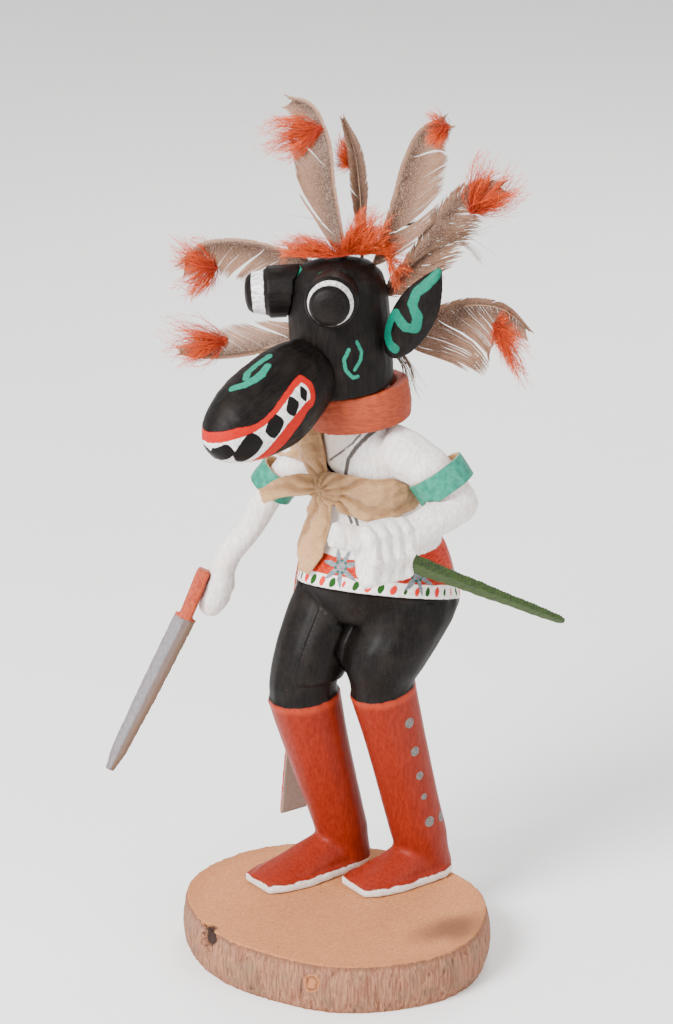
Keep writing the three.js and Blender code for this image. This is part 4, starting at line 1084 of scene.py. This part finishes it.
crownRows = [
    {"back": -5, "root": (-5, 218.5),
     "ends": [(-12, 225), (-20, 226), (-28.2, 224.1), (-27, 217), (-25.5, 212.6), (-16, 213)]},
    {"back": -2, "root": (-1, 219),
     "ends": [(-2.7, 226.7), (1, 234), (5.9, 239), (10, 238), (14.5, 235), (12, 226)]},
    {"back": 1, "root": (2, 219.5),
     "ends": [(16, 229), (19.7, 217.4), (18, 211), (15.3, 206), (9, 212)]},
]

downValues = {"plumes": 85, "crownPlumes": 150, "crownSpread": 2.5, "hairs": 24, "plumeWidth": 0.24,
              "plumeTip": 0.08, "plumeSteps": 6, "hairWidth": 0.14, "hairTip": 0.04, "hairLength": 4.1,
              "depth": 1.56, "nearest": 0.5, "farthest": 0.96, "headRadius": 17.4, "headTop": 48.2}


def clearOfHead(spot):
    radius, top = downValues["headRadius"], downValues["headTop"]
    local = headPlace.inverted() @ (spot * mm) / mm
    if math.hypot(local.x, local.y) < radius and local.z < top:
        local.z = top + 0.15 * (top - max(local.z, 44))
        return (headPlace @ (local * mm)) / mm
    return spot


def downPlumes(strands, row, count, spread, luck):
    v = downValues
    root = fanPoint(*row["root"], row["back"])
    ends = [fanPoint(*end, row["back"]) for end in row["ends"]]
    shares = [k / v["plumeSteps"] for k in range(v["plumeSteps"] + 1)]
    widths = [mixed(v["plumeWidth"], v["plumeTip"], q) for q in shares]
    for _ in range(count):
        pick = luck.uniform(0, len(ends) - 1)
        i = min(int(pick), len(ends) - 2)
        target = ends[i].lerp(ends[i + 1], pick - i)
        target = root.lerp(target, luck.uniform(v["nearest"], v["farthest"]))
        target = target + fanBack * luck.gauss(0, v["depth"]) + Vector((0, 0, luck.gauss(0, 0.8)))
        start = root + Vector([luck.gauss(0, 0.5) for _ in range(3)]) + fanAcross * luck.gauss(0, spread)
        bow = Vector([luck.gauss(0, 1) for _ in range(3)]) * (target - start).length * 0.09
        line = [clearOfHead(start.lerp(target, q) + bow * math.sin(math.pi * q)) for q in shares]
        side = fanAcross if luck.random() < 0.5 else Vector((0, 0, 1))
        strands.add(line, widths, side, shares)
        for h in range(v["hairs"]):
            q = (h + luck.random()) / v["hairs"]
            foot = curve(line, q)
            ahead = (curve(line, min(q + 0.05, 1)) - curve(line, max(q - 0.05, 0))).normalized()
            away = Vector([luck.gauss(0, 1) for _ in range(3)])
            away = (away - ahead * away.dot(ahead)).normalized()
            reach = v["hairLength"] * luck.uniform(0.5, 1.1)
            reach *= 0.45 + 0.8 * math.sin(math.pi * min(q + 0.15, 1))
            knee = foot + (away * 0.7 + ahead * 0.75) * reach * 0.5
            tip = foot + (away * 0.5 + ahead * 1.15) * reach
            strands.add([clearOfHead(foot), clearOfHead(knee), clearOfHead(tip)],
                        [v["hairWidth"], v["hairWidth"] * 0.8, v["hairTip"]], ahead.cross(away),
                        [q, min(q + 0.15, 1), min(q + 0.3, 1)])


def downLook():
    look = Look("dyedDown", dancerPlace)
    place = look.place
    reach = look.layer("reach")
    patch = look.noise(place, 0.35, 3.0)
    tint = look.tones(reach, 0.05, 0.9, "#ad481b", "#d66d2e")
    tint = look.blend(look.smooth(patch, 0.45, 0.7) * 0.5, tint, "#c95a28")
    tint = look.blend(look.smooth(reach, 0.8, 1.1) * 0.5, tint, "#eda27c")
    return look.done(tint, 0.8, patch, 0.02)


def downPieces():
    v = downValues
    look = downLook()
    for number, row in enumerate(tuftRows, 1):
        luck = random.Random(70 + number)
        strands = Strands()
        downPlumes(strands, row, row.get("plumes", v["plumes"]), 0, luck)
        settled(strands.piece(f"down_tuft_{number}"), look, "orange_down", f"tip_tuft_{number}")
    luck = random.Random(90)
    strands = Strands()
    for row in crownRows:
        downPlumes(strands, row, v["crownPlumes"], v["crownSpread"], luck)
    settled(strands.piece("down_crown"), look, "orange_down", "crown_down")


# Studio

studioValues = {"camera": (0.91614, -0.64283, 0.55257), "aim": (-0.01046, 0.00598, 0.152), "lens": 128.7,
                "world": 1.15, "floor": "#f4f3f2", "lightAim": (0, 0, 0.14),
                # each lamp: place, width and strength
                "lamps": {"key": ((0.15, -0.85, 0.75), 0.5, 29), "fill": ((0.95, 0.35, 0.5), 0.7, 5),
                          "rear": ((-0.6, 0.7, 0.9), 0.6, 8)}}


def areaLight(name, spot, size, energy):
    data = bpy.data.lights.new(name, "AREA")
    data.shape = "DISK"
    data.size = size
    data.energy = energy
    lamp = bpy.data.objects.new(name, data)
    lamp.location = spot
    lamp.rotation_mode = "QUATERNION"
    lamp.rotation_quaternion = (Vector(studioValues["lightAim"]) - Vector(spot)).to_track_quat("-Z", "Y")
    bpy.context.scene.collection.objects.link(lamp)


def studio():
    v = studioValues
    bpy.ops.mesh.primitive_plane_add(size=12, location=(0, 0, 0))
    floor = bpy.context.object
    floor.name = "studio_floor"
    look = Look("paleFloor", Matrix.Identity(4))
    soft = look.noise(look.place, 0.01, 2.0)
    tint = look.blend(soft, v["floor"], "#f8f7f6")
    floor.data.materials.append(look.done(tint, 0.9, soft, 0.01))
    world = bpy.data.worlds.new("paleRoom")
    world.use_nodes = True
    world.node_tree.nodes["Background"].inputs["Color"].default_value = (1, 1, 1, 1)
    world.node_tree.nodes["Background"].inputs["Strength"].default_value = v["world"]
    bpy.context.scene.world = world
    for name, lamp in v["lamps"].items():
        areaLight(name, *lamp)
    camera = bpy.data.objects.new("camera", bpy.data.cameras.new("camera"))
    camera.data.lens = v["lens"]
    camera.data.sensor_width = 36
    camera.data.clip_start = 0.05
    camera.location = v["camera"]
    camera.rotation_mode = "QUATERNION"
    camera.rotation_quaternion = (Vector(v["aim"]) - Vector(v["camera"])).to_track_quat("-Z", "Y")
    bpy.context.scene.collection.objects.link(camera)
    bpy.context.scene.camera = camera


studio()
barkedSlice()
carvedBody()
headPiece()
snoutPiece()
for side, word in ((1, "left"), (-1, "right")):
    eyePiece(side, f"eye_{word}", f"mask_eye_{word}")
    earPiece(side, f"ear_{word}", f"mask_ear_{word}")
collarPiece()
knifePiece()
whipPiece()
armbandPiece("armband_left", "armband_left_leather", (20, 6.5, 154), (32, 16.6, 140.4))
armbandPiece("armband_right", "armband_right_leather", (-19.5, -5, 149), (-34.5, -20.4, 121))
sashPiece()
chamoisPiece()
webLook = featherLook()
for number, row in enumerate(featherRows, 1):
    feather(row, number, webLook)
downPieces()
